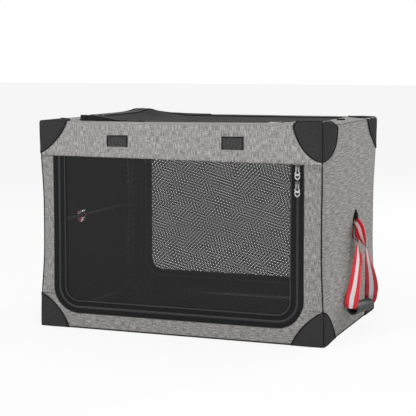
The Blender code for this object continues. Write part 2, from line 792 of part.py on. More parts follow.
def ribbon_stations():
    """The ribbon's way from the slit through the handle and back: (middle, half width as a vector)."""
    axis = Vector((sin(HANDLE_TURN), cos(HANDLE_TURN), 0))
    centre = Vector(HANDLE_CENTRE)
    side = Vector((cos(HANDLE_TURN), -sin(HANDLE_TURN), 0))
    bend = HANDLE_LONG / 2 + 0.006
    near = centre - axis * bend
    far = centre + axis * bend
    start = Vector((WIDTH / 2 + COVER_OUT + 2 * GAP + 0.0004, SLIT_Y - RIBBON_APART / 2, KNEE_Z))
    finish = start + Vector((0, RIBBON_APART, 0))
    x_way = Vector((1, 0, 0))
    z_way = Vector((0, 0, 1))
    full = RIBBON_HALF
    inside = HANDLE_BORE - 0.0015
    lift = Vector((0, 0, 0.0037))
    fall = start.z - centre.z
    return [
        (start, z_way * 0.0035),
        (start + Vector((0.0035, -0.0015, -0.0020)), (z_way + x_way).normalized() * 0.0042),
        (start + Vector((0.0060, -0.0060, -0.0120)), x_way * 0.0050),
        (start + Vector((0.0090, -0.0220, -0.21 * fall)), (x_way + z_way * 0.1) * 0.0085),
        (start + Vector((0.0125, -0.0500, -0.40 * fall)), x_way * 0.0110),
        (near + Vector((-0.0005, 0.0120, 0.42 * fall)), x_way * full),
        (near + Vector((0.0000, 0.0030, 0.0450)), x_way * full),
        (near + Vector((0.0000, -0.0005, 0.0200)), side * full),
        (near + Vector((0.0000, -0.0010, 0.0080)), side * full * 0.95),
        (near + Vector((0.0002, 0.0010, 0.0015)), side * full * 0.80),
        (near + axis * 0.0050 + lift, side * inside),
        (near + axis * 0.0150 + lift, side * inside),
        (far - axis * 0.0150 + lift, side * inside),
        (far - axis * 0.0050 + lift, side * inside),
        (far + Vector((0.0002, -0.0010, 0.0015)), side * full * 0.80),
        (far + Vector((0.0003, 0.0010, 0.0080)), side * full * 0.95),
        (far + Vector((0.0003, 0.0005, 0.0200)), side * full),
        (far + Vector((0.0000, 0.0010, 0.0460)), (x_way + axis * 0.2).normalized() * full),
        (far + Vector((-0.0040, 0.0035, 0.45 * fall)), (x_way + axis * 0.6).normalized() * 0.0115),
        (far + Vector((-0.0130, 0.0050, 0.64 * fall)), (x_way + axis * 1.6).normalized() * 0.0095),
        (finish + Vector((0.0130, 0.0080, -0.18 * fall)), (x_way + axis * 0.9).normalized() * 0.0070),
        (finish + Vector((0.0075, 0.0040, -0.0130)), x_way * 0.0050),
        (finish + Vector((0.0035, 0.0012, -0.0025)), (z_way + x_way).normalized() * 0.0042),
        (finish, z_way * 0.0035),
    ]


def ribbon():
    """The pull ribbon as one flat strip along its stations."""
    stations = ribbon_stations()
    form = bmesh.new()
    rings = []
    for n, (middle, half) in enumerate(stations):
        before = stations[max(0, n - 1)][0]
        after = stations[min(len(stations) - 1, n + 1)][0]
        face = (after - before).cross(half).normalized() * RIBBON_THICK / 2
        corners = (middle - half - face, middle + half - face, middle + half + face, middle - half + face)
        rings.append([form.verts.new(corner) for corner in corners])
    for one, two in zip(rings, rings[1:]):
        bridge(form, one, two)
    form.faces.new(rings[0])
    form.faces.new(rings[-1])
    bmesh.ops.triangulate(form, faces=form.faces)
    return form


def looks():
    return {
        "wall_cloth": look("wall_cloth", (0.30, 0.295, 0.285), 0.9),
        "corner_cloth": look("corner_cloth", (0.035, 0.035, 0.037), 0.85),
        "floor_cloth": look("floor_cloth", (0.02, 0.02, 0.021), 0.9),
        "mat_cloth": look("mat_cloth", (0.03, 0.03, 0.032), 0.95),
        "zip_tape": look("zip_tape", (0.02, 0.02, 0.02), 0.8),
        "net": look("net", (0.015, 0.015, 0.016), 0.7),
        "webbing": look("webbing", (0.05, 0.05, 0.052), 0.8),
        "frame_tube": look("frame_tube", (0.03, 0.03, 0.03), 0.4, 0.6),
        "bright_steel": look("bright_steel", (0.6, 0.6, 0.6), 0.25, 1.0),
        "ribbon": look("ribbon", (0.62, 0.02, 0.03), 0.7),
        "grip": look("grip", (0.012, 0.012, 0.012), 0.6),
    }


def build_base(finish):
    base = joint("base", (0, 0, 0))
    piece("floor_board", shape("floor_board", floor_board()), finish["floor_cloth"], base)
    piece("floor_mat", shape("floor_mat", floor_mat(), radians(50)), finish["mat_cloth"], base)
    loop = shape("bottom_frame", frame_loop(1), radians(40))
    piece("bottom_frame", loop, finish["frame_tube"], base)
    wall = shape("end_panel", end_panel())
    piece("right_end_panel", wall, finish["wall_cloth"], base)
    piece("left_end_panel", wall, finish["wall_cloth"], base, HALF_TURN)
    cloth = shape("surround", surround())
    tape = shape("side_zip_tape", zip_tape(side_path()))
    for side, place in (("front", FRONT), ("back", BACK)):
        piece(side + "_surround", cloth, finish["wall_cloth"], base, place)
        piece(side + "_zip_tape", tape, finish["zip_tape"], base, place)
    add_covers(base, "lower", finish)
    return base


def add_covers(carrier, level, finish):
    for side, sy in (("front", -1), ("back", 1)):
        for end, sx in (("left", -1), ("right", 1)):
            name = "_".join((level, side, end, "cover"))
            mesh = shape(name, corner_cover(sx, sy, level == "upper"))
            piece(name, mesh, finish["corner_cloth"], carrier)


def build_legs(base, finish):
    """Both ends' legs and knee bars. Each end folds inwards, and the right end carries the top frame."""
    lower_mesh = shape("lower_leg", leg(True), radians(40))
    upper_mesh = shape("upper_leg", leg(False), radians(40))
    bar_mesh = shape("knee_bar", headed_pin(LEG_Y + FORK_OUT + GAP, BAR_ROUND), radians(40))
    tie_mesh = shape("ribbon_tie", ribbon_tie(), radians(40))
    uppers = {}
    for end, sx, turn in (("right", 1, Matrix()), ("left", -1, HALF_TURN)):
        lower = joint(end + "_lower_legs", (sx * PIN_X, 0, LOW_PIN_Z), base)
        upper = joint(end + "_upper_legs", (sx * KNEE_X, 0, KNEE_Z), lower)
        for side, sy in (("front", -1), ("back", 1)):
            foot = Matrix.Translation((sx * PIN_X, sy * LEG_Y, LOW_PIN_Z)) @ turn
            knee = Matrix.Translation((sx * PIN_X, sy * LEG_Y, KNEE_Z)) @ turn
            piece("_".join((end, side, "lower_leg")), lower_mesh, finish["frame_tube"], lower, foot)
            piece("_".join((end, side, "upper_leg")), upper_mesh, finish["frame_tube"], upper, knee)
        bar = Matrix.Translation((sx * KNEE_X, 0, KNEE_Z))
        piece(end + "_knee_bar", bar_mesh, finish["bright_steel"], lower, bar)
        piece(end + "_ribbon_tie", tie_mesh, finish["ribbon"], lower, turn)
        uppers[end] = upper
    return uppers["right"]


def build_top(upper, finish):
    top = joint("top_frame_carrier", (PIN_X, 0, HIGH_PIN_Z), upper)
    loop = shape("top_frame", frame_loop(-1), radians(40))
    piece("top_frame", loop, finish["frame_tube"], top)
    piece("top_panel", shape("top_panel", top_panel()), finish["wall_cloth"], top)
    tape = raise_top(moved(zip_tape(top_path()), TOP))
    piece("top_zip_tape", shape("top_zip_tape", tape), finish["zip_tape"], top)
    add_covers(top, "upper", finish)
    return top


def build_headers(top, finish):
    headers = joint("headers", (0, 0, SEAM_HEIGHT), top)
    cloth = shape("header", header())
    tabs = {name: shape(name, tab(x)) for name, x in TAB_X.items()}
    for side, place in (("front", FRONT), ("back", BACK)):
        piece(side + "_header", cloth, finish["wall_cloth"], headers, place)
        for name, mesh in tabs.items():
            piece("_".join((side, name)), mesh, finish["webbing"], headers, place)
    return headers


def build_doors(headers, top, finish):
    """The three net doors, each on its sewn hinge line."""
    front = joint("front_door", (0, -DEPTH / 2, SEAM_HEIGHT), headers)
    back = joint("back_door", (0, DEPTH / 2, SEAM_HEIGHT), headers)
    lid = joint("top_door", (TOP_HINGE_X, 0, TOP_FACE), top)
    trim = shape("side_door_trim", door_trim(side_path()))
    mesh = shape("side_door_net", net(side_path(), SIDE_NET_GAPS))
    for side, carrier, place in (("front", front, FRONT), ("back", back, BACK)):
        piece(side + "_door_trim", trim, finish["zip_tape"], carrier, place)
        piece(side + "_door_net", mesh, finish["net"], carrier, place)
    trim = raise_top(moved(door_trim(top_path()), TOP))
    mesh = raise_top(moved(net(top_path(), TOP_NET_GAPS), TOP))
    piece("top_door_trim", shape("top_door_trim", trim), finish["zip_tape"], lid)
    piece("top_door_net", shape("top_door_net", mesh), finish["net"], lid)
    side_right = DOOR_SHIFT + SIDE_COIL_X
    add_zip("front", front, FRONT, (side_right, SEAM_HEIGHT), finish)
    add_zip("back", back, BACK, (side_right, SEAM_HEIGHT), finish)
    add_zip("top", lid, TOP, (TOP_COIL_Y, TOP_HINGE_X), finish)


def add_zip(door, carrier, frame, end, finish):
    """Two sliders at the end of a door's zip, each with a pull tab on its bail."""
    slider_mesh = shape(door + "_slider", slider())
    pull_mesh = shape(door + "_zip_pull", zip_pull())
    for level, drop in (("upper", UPPER_SLIDER_DROP), ("lower", LOWER_SLIDER_DROP)):
        seat = frame @ Matrix.Translation((end[0], 0, end[1] - drop))
        hang = seat @ Matrix.Translation((0, coil_middle() - pull_axis(), 0))
        carried = carrier
        if level == "lower":
            carried = joint(door + "_slider", seat.translation, carrier)
        swing = joint("_".join((door, level, "pull")), hang.translation, carried)
        name = "_".join((door, level))
        piece(name + "_zip_slider", slider_mesh, finish["bright_steel"], carried, seat)
        piece(name + "_zip_pull", pull_mesh, finish["bright_steel"], swing, hang)


def build_pulls(base, finish):
    """The ribbon loop and handle that hang outside each end."""
    strip = shape("pull_ribbon", ribbon(), radians(40))
    grip = shape("pull_handle", handle(), radians(40))
    out = WIDTH / 2 + COVER_OUT
    for end, sx, turn in (("right", 1, Matrix()), ("left", -1, HALF_TURN)):
        swing = joint(end + "_pull", (sx * out, sx * SLIT_Y, KNEE_Z), base)
        piece(end + "_pull_ribbon", strip, finish["ribbon"], swing, turn)
        piece(end + "_pull_handle", grip, finish["grip"], swing, turn)


def main():
    clear_scene()
    finish = looks()
    base = build_base(finish)
    upper = build_legs(base, finish)
    top = build_top(upper, finish)
    headers = build_headers(top, finish)
    build_doors(headers, top, finish)
    build_pulls(base, finish)
    over = atan(KNEE_OVER / LEG_SPAN)
    drop = 2 * (LEG_SPAN - (LEG_SPAN * cos(FOLD_ANGLE) + KNEE_OVER * sin(FOLD_ANGLE)))
    print("pins at x %.4f y %.4f z %.4f and z %.4f" % (PIN_X, LEG_Y, LOW_PIN_Z, HIGH_PIN_Z))
    print("knee at x %.4f z %.4f, %.2f degrees over centre" % (KNEE_X, KNEE_Z, over * 180 / pi))
    print("the top comes down %.4f" % drop)


main()
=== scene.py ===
from math import ceil, cos, exp, pi, radians, sin, sqrt

import bmesh
import bpy
from mathutils import Matrix, Vector
from mathutils.noise import noise


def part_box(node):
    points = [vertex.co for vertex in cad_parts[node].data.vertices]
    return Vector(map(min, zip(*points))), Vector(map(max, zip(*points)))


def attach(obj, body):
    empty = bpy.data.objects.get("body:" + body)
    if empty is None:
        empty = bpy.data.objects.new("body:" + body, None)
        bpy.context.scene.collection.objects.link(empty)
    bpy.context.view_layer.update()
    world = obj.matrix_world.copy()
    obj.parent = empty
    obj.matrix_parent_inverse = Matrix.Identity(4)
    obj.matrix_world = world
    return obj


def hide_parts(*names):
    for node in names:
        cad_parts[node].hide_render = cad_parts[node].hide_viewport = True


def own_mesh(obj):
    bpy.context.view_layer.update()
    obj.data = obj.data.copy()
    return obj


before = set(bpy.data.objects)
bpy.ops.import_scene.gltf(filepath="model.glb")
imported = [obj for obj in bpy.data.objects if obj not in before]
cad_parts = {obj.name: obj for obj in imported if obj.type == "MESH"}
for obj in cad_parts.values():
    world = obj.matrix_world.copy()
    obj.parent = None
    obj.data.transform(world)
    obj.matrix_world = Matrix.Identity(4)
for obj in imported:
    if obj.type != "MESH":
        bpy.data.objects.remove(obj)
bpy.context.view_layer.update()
scene = bpy.context.scene

# Camera, floor and light
# The crate stands on a plain white floor under soft studio light from the left, and the camera looks a
# little down at its front and right end, as in a shop picture.

CAMERA_LENS = 109.975
CAMERA_PLACE = (1.0134, -2.7223, 0.5862)
CAMERA_RIGHT = Vector((0.9355, 0.3533, 0.0004))
CAMERA_UP = Vector((-0.0406, 0.1065, 0.9935))
LAMPS = (("front_lamp", (-1.2, -2.9, 1.7), 1.4, 44), ("right_lamp", (1.7, -2.7, 1.5), 1.0, 22),
         ("top_lamp", (0.2, 0.2, 2.8), 1.8, 16), ("end_lamp", (1.5, 3.0, 1.3), 0.4, 40))
LIT_PLACE = Vector((0, 0, 0.2))
FLOOR_HALF, FLOOR_DROP = 30, 0.0004
FLOOR_WHITE, AIR_STRENGTH = 0.86, 0.41


def put(name, data):
    """An object in the scene that holds some data."""
    made = bpy.data.objects.new(name, data)
    scene.collection.objects.link(made)
    return made


def lay_flat(mesh, flat):
    """Keep each vertex's place on the flat cloth as its UV."""
    layer = mesh.uv_layers.new(name="flat")
    for loop in mesh.loops:
        layer.data[loop.index].uv = flat[loop.vertex_index]


def new_piece(name, points, faces, finishes, flat=None, smooth=True):
    """A mesh object, with its flat cloth coordinates as UVs."""
    mesh = bpy.data.meshes.new(name)
    mesh.from_pydata(points, [], faces)
    for finish in finishes:
        mesh.materials.append(finish)
    if flat:
        lay_flat(mesh, flat)
    if smooth:
        mesh.shade_smooth()
    return put(name, mesh)


def feed(socket, value):
    """Set an input to a value, or link another node's output to it."""
    if isinstance(value, bpy.types.NodeSocket):
        socket.id_data.links.new(value, socket)
    else:
        socket.default_value = value


def new_node(tree, kind, inputs=(), **settings):
    """A shader node, with its settings and what goes into its inputs."""
    node = tree.nodes.new("ShaderNode" + kind)
    for name, value in settings.items():
        setattr(node, name, value)
    for name, value in dict(inputs).items():
        feed(node.inputs[name], value)
    return node


def new_finish(name, colour=(0.5, 0.5, 0.5), roughness=0.5, metallic=0.0, specular=0.5):
    """A material, and its main shader."""
    finish = bpy.data.materials.new(name)
    finish.use_nodes = True
    shader = finish.node_tree.nodes["Principled BSDF"]
    for socket, value in (("Base Color", (*colour, 1)), ("Roughness", roughness), ("Metallic", metallic),
                          ("Specular IOR Level", specular)):
        feed(shader.inputs[socket], value)
    return finish, shader


def white_to_camera(shade, share, kind):
    """Mix plain white into a shader for the rays that show the background."""
    tree = shade.id_data
    path = new_node(tree, "LightPath")
    seen = path.outputs["Is Camera Ray"]
    for ray in ("Is Glossy Ray", "Is Transmission Ray"):
        seen = new_node(tree, "Math", {0: seen, 1: path.outputs[ray]}, operation="MAXIMUM").outputs[0]
    part = new_node(tree, "Math", {0: seen, 1: share}, operation="MULTIPLY").outputs[0]
    white = new_node(tree, kind, {0: (1, 1, 1, 1)}).outputs[0]
    return new_node(tree, "MixShader", {0: part, 1: shade, 2: white}).outputs[0]


camera = put("camera", bpy.data.cameras.new("camera"))
camera.data.lens = CAMERA_LENS
turn = Matrix((CAMERA_RIGHT, CAMERA_UP, CAMERA_RIGHT.cross(CAMERA_UP))).transposed()
camera.matrix_world = Matrix.Translation(CAMERA_PLACE) @ turn.to_4x4()
scene.camera = camera
scene.view_settings.view_transform = "Standard"

floor_paper, shader = new_finish("floor_paper", (0.93, 0.93, 0.93), 0.95)
shown = white_to_camera(shader.outputs[0], FLOOR_WHITE, "Emission")
feed(shader.id_data.nodes["Material Output"].inputs[0], shown)
corners = [(sx * FLOOR_HALF, sy * FLOOR_HALF, 0) for sx, sy in ((-1, -1), (1, -1), (1, 1), (-1, 1))]
floor = new_piece("floor", corners, [(0, 1, 2, 3)], [floor_paper], smooth=False)
floor.location.z = -FLOOR_DROP

scene.world = bpy.data.worlds.new("studio")
scene.world.use_nodes = True
air = scene.world.node_tree.nodes["Background"]
feed(air.inputs["Color"], (1.0, 0.99, 0.98, 1))
feed(air.inputs["Strength"], AIR_STRENGTH)
feed(air.id_data.nodes["World Output"].inputs[0], white_to_camera(air.outputs[0], 1.0, "Background"))

for name, place, size, watts in LAMPS:
    lamp = put(name, bpy.data.lights.new(name, "AREA"))
    lamp.data.shape = "DISK"
    lamp.data.size = size
    lamp.data.energy = watts
    lamp.location = place
    lamp.rotation_euler = (LIT_PLACE - Vector(place)).to_track_quat("-Z", "Y").to_euler()

# End walls
# Each end is one piece of grey heathered cloth with a black lining, stretched between the tube rings. A
# slit with a bound edge lets the pull ribbon through.

WIDTH, DEPTH, HEIGHT = 0.650, 0.460, 0.460
TOP_FACE = 0.4585
WALL_LOW, WALL_TOP = 0.0033, 0.4558
CLOTH_TOP = WALL_TOP + 0.0022
CLOTH_THICK = 0.0022
SLIT_PLACE = Vector((0.0330, 0.2320))
SLIT_LOW, SLIT_TOP, SLIT_HALF = 0.210, 0.259, 0.024
ENDS = (("right", 1), ("left", -1))
WAVE_LENGTH = 0.314
YARN, LYING_YARN, FINE_YARN = 0.0021, 0.0022, 0.0009
HEATHER = ((0.34, (0.125, 0.122, 0.118)), (0.46, (0.235, 0.230, 0.222)), (0.54, (0.340, 0.333, 0.322)),
           (0.66, (0.53, 0.52, 0.505)))


def wave_lines(flat, axis, pitch):
    """Even thread lines across one axis of a coordinate in metres."""
    lines = {"Scale": WAVE_LENGTH / pitch, "Vector": flat}
    return new_node(flat.id_data, "TexWave", lines, bands_direction=axis).outputs["Fac"]


def streaks(flat, along, across, detail=3.0):
    """Noise drawn out into yarn slubs: its sizes across and along are in metres."""
    stretch = new_node(flat.id_data, "Mapping", {"Scale": (1 / across, 1 / along, 1.0), "Vector": flat})
    cloud = {"Scale": 1.0, "Detail": detail, "Vector": stretch.outputs[0]}
    return new_node(flat.id_data, "TexNoise", cloud).outputs["Fac"]


def blended(one, two, share):
    """Two values mixed by a share."""
    values = {"Factor": share, "A": one, "B": two}
    return new_node(one.id_data, "Mix", values, data_type="FLOAT").outputs["Result"]


def woven(flat, pitch):
    """The crossed threads of plain cloth."""
    return blended(wave_lines(flat, "X", pitch), wave_lines(flat, "Y", pitch), 0.5)


def ramped(value, stops):
    """Colours at given values."""
    ramp = new_node(value.id_data, "ValToRGB", {0: value})
    elements = ramp.color_ramp.elements
    while len(elements) < len(stops):
        elements.new(0.5)
    for element, (place, colour) in zip(elements, stops):
        element.position = place
        element.color = (*colour, 1)
    return ramp.outputs["Color"]


def bumped(shader, height, depth):
    """Give a shader a surface relief."""
    relief = new_node(shader.id_data, "Bump", {"Strength": 0.6, "Distance": depth, "Height": height})
    feed(shader.inputs["Normal"], relief.outputs["Normal"])


def heather(name, upright=0.66, slub=0.013, lying=0.012, shade=1.0, band_top=None):
    """Grey heathered cloth, with the share and length of its upright and lying slubs. Below a band's top
    they change places. A shade above 1 paints light into a copy of the cloth, and one below 1 paints shade."""
    finish, shader = new_finish(name, roughness=0.88, specular=0.12)
    tree = shader.id_data
    flat = new_node(tree, "UVMap").outputs["UV"]
    up, along = streaks(flat, slub, YARN), streaks(flat, LYING_YARN, lying)
    cloth = blended(along, up, upright)
    if band_top:
        height = new_node(tree, "SeparateXYZ", {0: flat}).outputs["Y"]
        over = new_node(tree, "Math", {0: height, 1: band_top}, operation="GREATER_THAN").outputs[0]
        cloth = blended(blended(up, along, upright), cloth, over)
    cloth = blended(cloth, streaks(flat, 0.0024, FINE_YARN, 1.0), 0.18)
    stops = [(place, [part * shade for part in colour]) for place, colour in HEATHER]
    feed(shader.inputs["Base Color"], ramped(cloth, stops))
    bumped(shader, blended(woven(flat, 0.0011), cloth, 0.4), 0.0003)
    feed(shader.inputs["Sheen Weight"], 0.04)
    feed(shader.inputs["Sheen Roughness"], 0.6)
    return finish


def dark_cloth(name, colour, roughness=0.85, pitch=0.0009, spread=0.25, specular=0.02):
    """Plain woven dark cloth with fine threads and a little change of tone."""
    finish, shader = new_finish(name, colour, roughness, specular=specular)
    flat = new_node(shader.id_data, "UVMap").outputs["UV"]
    stops = [(place, [part * (1 + change) for part in colour])
             for place, change in ((0.35, -spread), (0.65, spread))]
    feed(shader.inputs["Base Color"], ramped(streaks(flat, 0.004, 0.004, 4.0), stops))
    bumped(shader, woven(flat, pitch), 0.00025)
    return finish


def row_faces(rows, count, closed):
    """Faces between rows of points."""
    faces = []
    for j in range(rows - 1):
        for i in range(count if closed else count - 1):
            k = (i + 1) % count
            faces.append((j * count + i, j * count + k, (j + 1) * count + k, (j + 1) * count + i))
    return faces


def capped(rows, count):
    """Faces between closed rows of points, with both ends closed."""
    last = (rows - 1) * count
    return row_faces(rows, count, True) + [tuple(range(count))[::-1], tuple(range(last, last + count))]


def grid(left, wide, columns, low, tall, rows):
    """Even rows of flat points."""
    return [[(left + wide * n / columns, low + tall * m / rows) for n in range(columns + 1)]
            for m in range(rows + 1)]


def cloth_sheet(name, rows, place, out, finishes, closed=False, thick=CLOTH_THICK):
    """A sheet of cloth through rows of flat points, put in place by a function, with its back lined."""
    flat = [point for row in rows for point in row]
    faces = row_faces(len(rows), len(rows[0]), closed)
    made = new_piece(name, [place(*point) for point in flat], faces, finishes, [point[:2] for point in flat])
    if made.data.polygons[len(made.data.polygons) // 2].normal.dot(Vector(out)) < 0:
        made.data.flip_normals()
    body = made.modifiers.new("cloth", "SOLIDIFY")
    body.thickness = thick
    body.offset = -1
    body.material_offset = 1 if len(finishes) > 1 else 0
    return made


def between(inner, outer, parts):
    """Rows from one loop of flat points to another."""
    return [[(a[0] + (b[0] - a[0]) * part, a[1] + (b[1] - a[1]) * part) for a, b in zip(inner, outer)]
            for part in parts]


def ray_meet(outline, centre, angle):
    """Where a ray from a centre leaves an outline that it goes round."""
    way, centre = Vector((cos(angle), sin(angle))), Vector(centre)
    found = []
    for start, end in zip(outline, outline[1:] + outline[:1]):
        side, gap = Vector(end) - Vector(start), Vector(start) - centre
        turn = way.x * side.y - way.y * side.x
        if abs(turn) > 1e-12:
            far = (gap.x * side.y - gap.y * side.x) / turn
            part = (gap.x * way.y - gap.y * way.x) / turn
            if far > 0 and -1e-6 <= part <= 1 + 1e-6:
                found.append(far)
    return tuple(centre + way * max(found))


def slack(u, v, size, depth, seed=0.0):
    """The small in and out of stretched cloth."""
    return depth * noise(Vector((u / size, v / size, seed)))


def fade_in(value, length):
    """0 at 0, and 1 from a length on."""
    part = min(1.0, max(0.0, value / length))
    return part * part * (3 - 2 * part)


ROUND = 0.006
DRAWN_IN = 0.0045
EDGE_SPAN, FRONT_SPAN = 0.036, 0.09
FOOT_OUT, HEAD_IN_RIGHT, HEAD_IN_LEFT = 0.0030, 0.0040, 0.0010
RIM_GAIN, RIM_DROP = 0.0077, 0.0027
DIP_DEEP, DIP_PLACE, DIP_SPREAD = 0.0022, 0.15, 0.12
LIFT_RIGHT, LIFT_LEFT, LIFT_END = 0.0034, 0.0040, 0.0048
LID_SPAN, LIFT_FADE = 0.055, 0.035
RIM_FADE, LOW_RIM_FADE, LEFT_RIM_FADE, END_RIM_FADE = 0.030, 0.014, 0.012, 0.034
END_LIFT_FROM, END_LIFT_TO = 0.025, 0.058
DRAWN_FROM, DRAWN_GAIN, DRAWN_TO, DRAWN_LOSS = 0.03, 0.15, 0.27, 0.17
SEAM_LEFT_UP, SEAM_RIGHT_DROP = 0.0022, 0.0046
SEAM_HEIGHT = 0.380


def near_edge(x, y, width):
    """1 at the box's upright edges, and 0 from a width off them on."""
    return (1 - fade_in(WIDTH / 2 - abs(x), width)) * (1 - fade_in(DEPTH / 2 - abs(y), width))


def front_rise(x, y, part):
    """How much higher the stuffed band stands at a place on the front rim, and its corners under the covers."""
    in_x, in_y = WIDTH / 2 - abs(x), DEPTH / 2 - abs(y)
    level = RIM_GAIN * part - RIM_DROP - DIP_DEEP * exp(-(((part - DIP_PLACE) / DIP_SPREAD) ** 2))
    rise = level * (1 - fade_in(in_y, RIM_FADE if level > 0 else LOW_RIM_FADE))
    corner = 1 - fade_in(in_x - LID_SPAN, LIFT_FADE)
    corner *= 1 - fade_in(in_y, RIM_FADE if x > 0 else LEFT_RIM_FADE)
    if x <= 0:
        return rise + corner * LIFT_LEFT
    corner = max(corner, (1 - fade_in(in_y - LID_SPAN, LIFT_FADE)) * (1 - fade_in(in_x, END_RIM_FADE)))
    end = fade_in(in_y, END_LIFT_FROM) * (1 - fade_in(in_y - END_LIFT_TO, RIM_FADE))
    end *= 1 - fade_in(in_x, EDGE_SPAN)
    return rise + corner * LIFT_RIGHT + LIFT_END * end


def settled(place):
    """Where the cloth of the box lies: its edges are rounded, its upright edges are drawn in between the
    corner covers, and the stuffed right end of the front band stands a little higher."""
    x, y, z = place
    centre = Vector((max(ROUND - WIDTH / 2, min(WIDTH / 2 - ROUND, x)),
                     max(ROUND - DEPTH / 2, min(DEPTH / 2 - ROUND, y)), min(TOP_FACE - ROUND, z)))
    off = Vector(place) - centre
    if off.length > 1e-9:
        off *= max(abs(off.x), abs(off.y), abs(off.z)) / off.length
    found = centre + off
    across, along = (1 if x > 0 else -1), (1 if y > 0 else -1)
    drawn = DRAWN_IN * fade_in(z - DRAWN_FROM, DRAWN_GAIN) * (1 - fade_in(z - DRAWN_TO, DRAWN_LOSS))
    drawn *= near_edge(x, y, EDGE_SPAN)
    found.x -= across * drawn
    found.y -= along * drawn
    if y < 0:
        foot, head = 1 - fade_in(z, 0.25), fade_in(z - 0.30, 0.15)
        head_in = HEAD_IN_RIGHT if across > 0 else HEAD_IN_LEFT
        found.x += near_edge(x, y, FRONT_SPAN) * (FOOT_OUT * across * foot - head_in * head)
        part = min(1.0, max(0.0, 0.5 + x / WIDTH))
        seam = max(0.0, 1 - abs(z - SEAM_HEIGHT) / 0.05)
        found.z += front_rise(x, y, part) * fade_in(z - 0.385, 0.07) + (
            (SEAM_LEFT_UP - SEAM_RIGHT_DROP * part) * seam * seam * (3 - 2 * seam)
            * (1 - fade_in(DEPTH / 2 - abs(y), RIM_FADE)))
    return found


def on_end(side, out, y, z):
    """A place on the right end (1) or the left end (-1)."""
    return settled((side * (WIDTH / 2 + out), side * y, z))


def rest_edge(y, z):
    """How far a point of an end wall is inside its four edges, as a share."""
    inside = min(DEPTH / 2 - abs(y), z - WALL_LOW, WALL_TOP - z)
    return fade_in(inside, 0.09)


grey_cloth = heather("grey_cloth")
# The end cloth's slubs lie across it, and it is 4% lighter than the front's cloth (shade 1.04): painted light.
end_cloth = heather("end_cloth", upright=0.28, slub=0.010, lying=0.036, shade=1.04)
black_lining = dark_cloth("black_lining", (0.018, 0.018, 0.019))
black_edge = dark_cloth("black_edge", (0.016, 0.016, 0.017), 0.7, 0.0006)

half_slit = [(share * SLIT_HALF, SLIT_LOW + part * (SLIT_TOP - SLIT_LOW)) for part, share in
             ((1.0, 0.10), (0.93, 0.32), (0.84, 0.52), (0.72, 0.72), (0.58, 0.90), (0.42, 1.0), (0.26, 0.97),
              (0.12, 0.80), (0.03, 0.52), (0.0, 0.25))]
slit_line = [(SLIT_PLACE[0] + half, z) for half, z in half_slit]
slit_line += [(SLIT_PLACE[0] - half, z) for half, z in half_slit[::-1]]
wall_line = [(-DEPTH / 2, WALL_LOW), (DEPTH / 2, WALL_LOW), (DEPTH / 2, CLOTH_TOP), (-DEPTH / 2, CLOTH_TOP)]
angles = [2 * pi * n / 120 for n in range(120)]
angles += [(Vector(corner) - SLIT_PLACE).angle_signed(Vector((1, 0))) % (2 * pi) for corner in wall_line]
angles.sort()
slit_loop = [ray_meet(slit_line, SLIT_PLACE, angle) for angle in angles]
wall_loop = [ray_meet(wall_line, SLIT_PLACE, angle) for angle in angles]
wall_rows = between(slit_loop, wall_loop, [0, 0.01, 0.03, 0.07, 0.13, 0.2, 0.3, 0.4, 0.5, 0.6, 0.7, 0.78, 0.84,
                                           0.89, 0.93, 0.96, 0.975, 0.985, 0.993, 1])


def add_spline(line, places, closed):
    """A run of straight pieces in a curve."""
    spline = line.splines.new("POLY")
    spline.points.add(len(places) - 1)
    for point, place in zip(spline.points, places):
        point.co = (*place, 1)
    spline.use_cyclic_u = closed


def mesh_of(piece):
    """The mesh that a piece's curve or modifiers make."""
    return bpy.data.meshes.new_from_object(piece.evaluated_get(bpy.context.evaluated_depsgraph_get()))


def from_curve(name, line, finish):
    """A mesh piece with a curve's form."""
    holder = put(name, line)
    bpy.context.view_layer.update()
    mesh = mesh_of(holder)
    bpy.data.objects.remove(holder)
    mesh.materials.clear()
    mesh.materials.append(finish)
    return put(name, mesh)


def wrapped(places):
    """Flat coordinates of places round the box."""
    return [(place.x + place.y, place.z) for place in places]


def tube(name, places, radius, finish, closed=False):
    """A thin round cord or binding along a line of places."""
    line = bpy.data.curves.new(name, "CURVE")
    line.dimensions = "3D"
    line.bevel_depth = radius
    line.bevel_resolution = 2
    line.use_fill_caps = not closed
    add_spline(line, places, closed)
    piece = from_curve(name, line, finish)
    piece.data.shade_smooth()
    if not piece.data.uv_layers:
        lay_flat(piece.data, wrapped(vertex.co for vertex in piece.data.vertices))
    return piece


def sew(piece, body, height=None, node=None):
    """Hide the CAD node that a piece stands for, if one is given, and hang the piece on the body that carries
    it. With a height, whatever its value, the piece gets its own copy of its mesh."""
    if node:
        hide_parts(node)
    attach(piece, body)
    if height is not None:
        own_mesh(piece)


for end, side in ENDS:
    def wall_place(y, z):
        sag = slack(y, z, 0.13, 0.0030, 3.0 if side > 0 else 7.0) * rest_edge(y, z)
        pucker = slack(y * 2.2, z, 0.03, 0.0009, 1.0) * rest_edge(y, z)
        return on_end(side, sag + pucker - 0.0002, y, z)

    wall = cloth_sheet(end + "_wall", wall_rows, wall_place, (side, 0, 0), [end_cloth, black_lining], closed=True)
    sew(wall, "base", 0, end + "_end_panel")
    rim_line = [wall_place(*point) + Vector((side * 0.0002, 0, 0)) for point in slit_loop]
    sew(tube(end + "_slit_binding", rim_line, 0.0011, black_edge, closed=True), "base", 0)
    # Painted shade: a black sheet just inside the wall, behind the slit's upper part, darkens the hole.
    slit_shade = cloth_sheet(end + "_slit_shade_sheet", grid(-0.002, 0.070, 10, 0.239, 0.034, 6),
                       lambda y, z: on_end(side, -0.0036, y, z), (side, 0, 0), [black_lining], thick=0.0006)
    sew(slit_shade, "base", 0)

# Cloth round the side doors
# Two upright strips and a band under the door are sewn into one piece. The slubs of the cloth run up the
# strips and along the band, and a thin seam parts them.

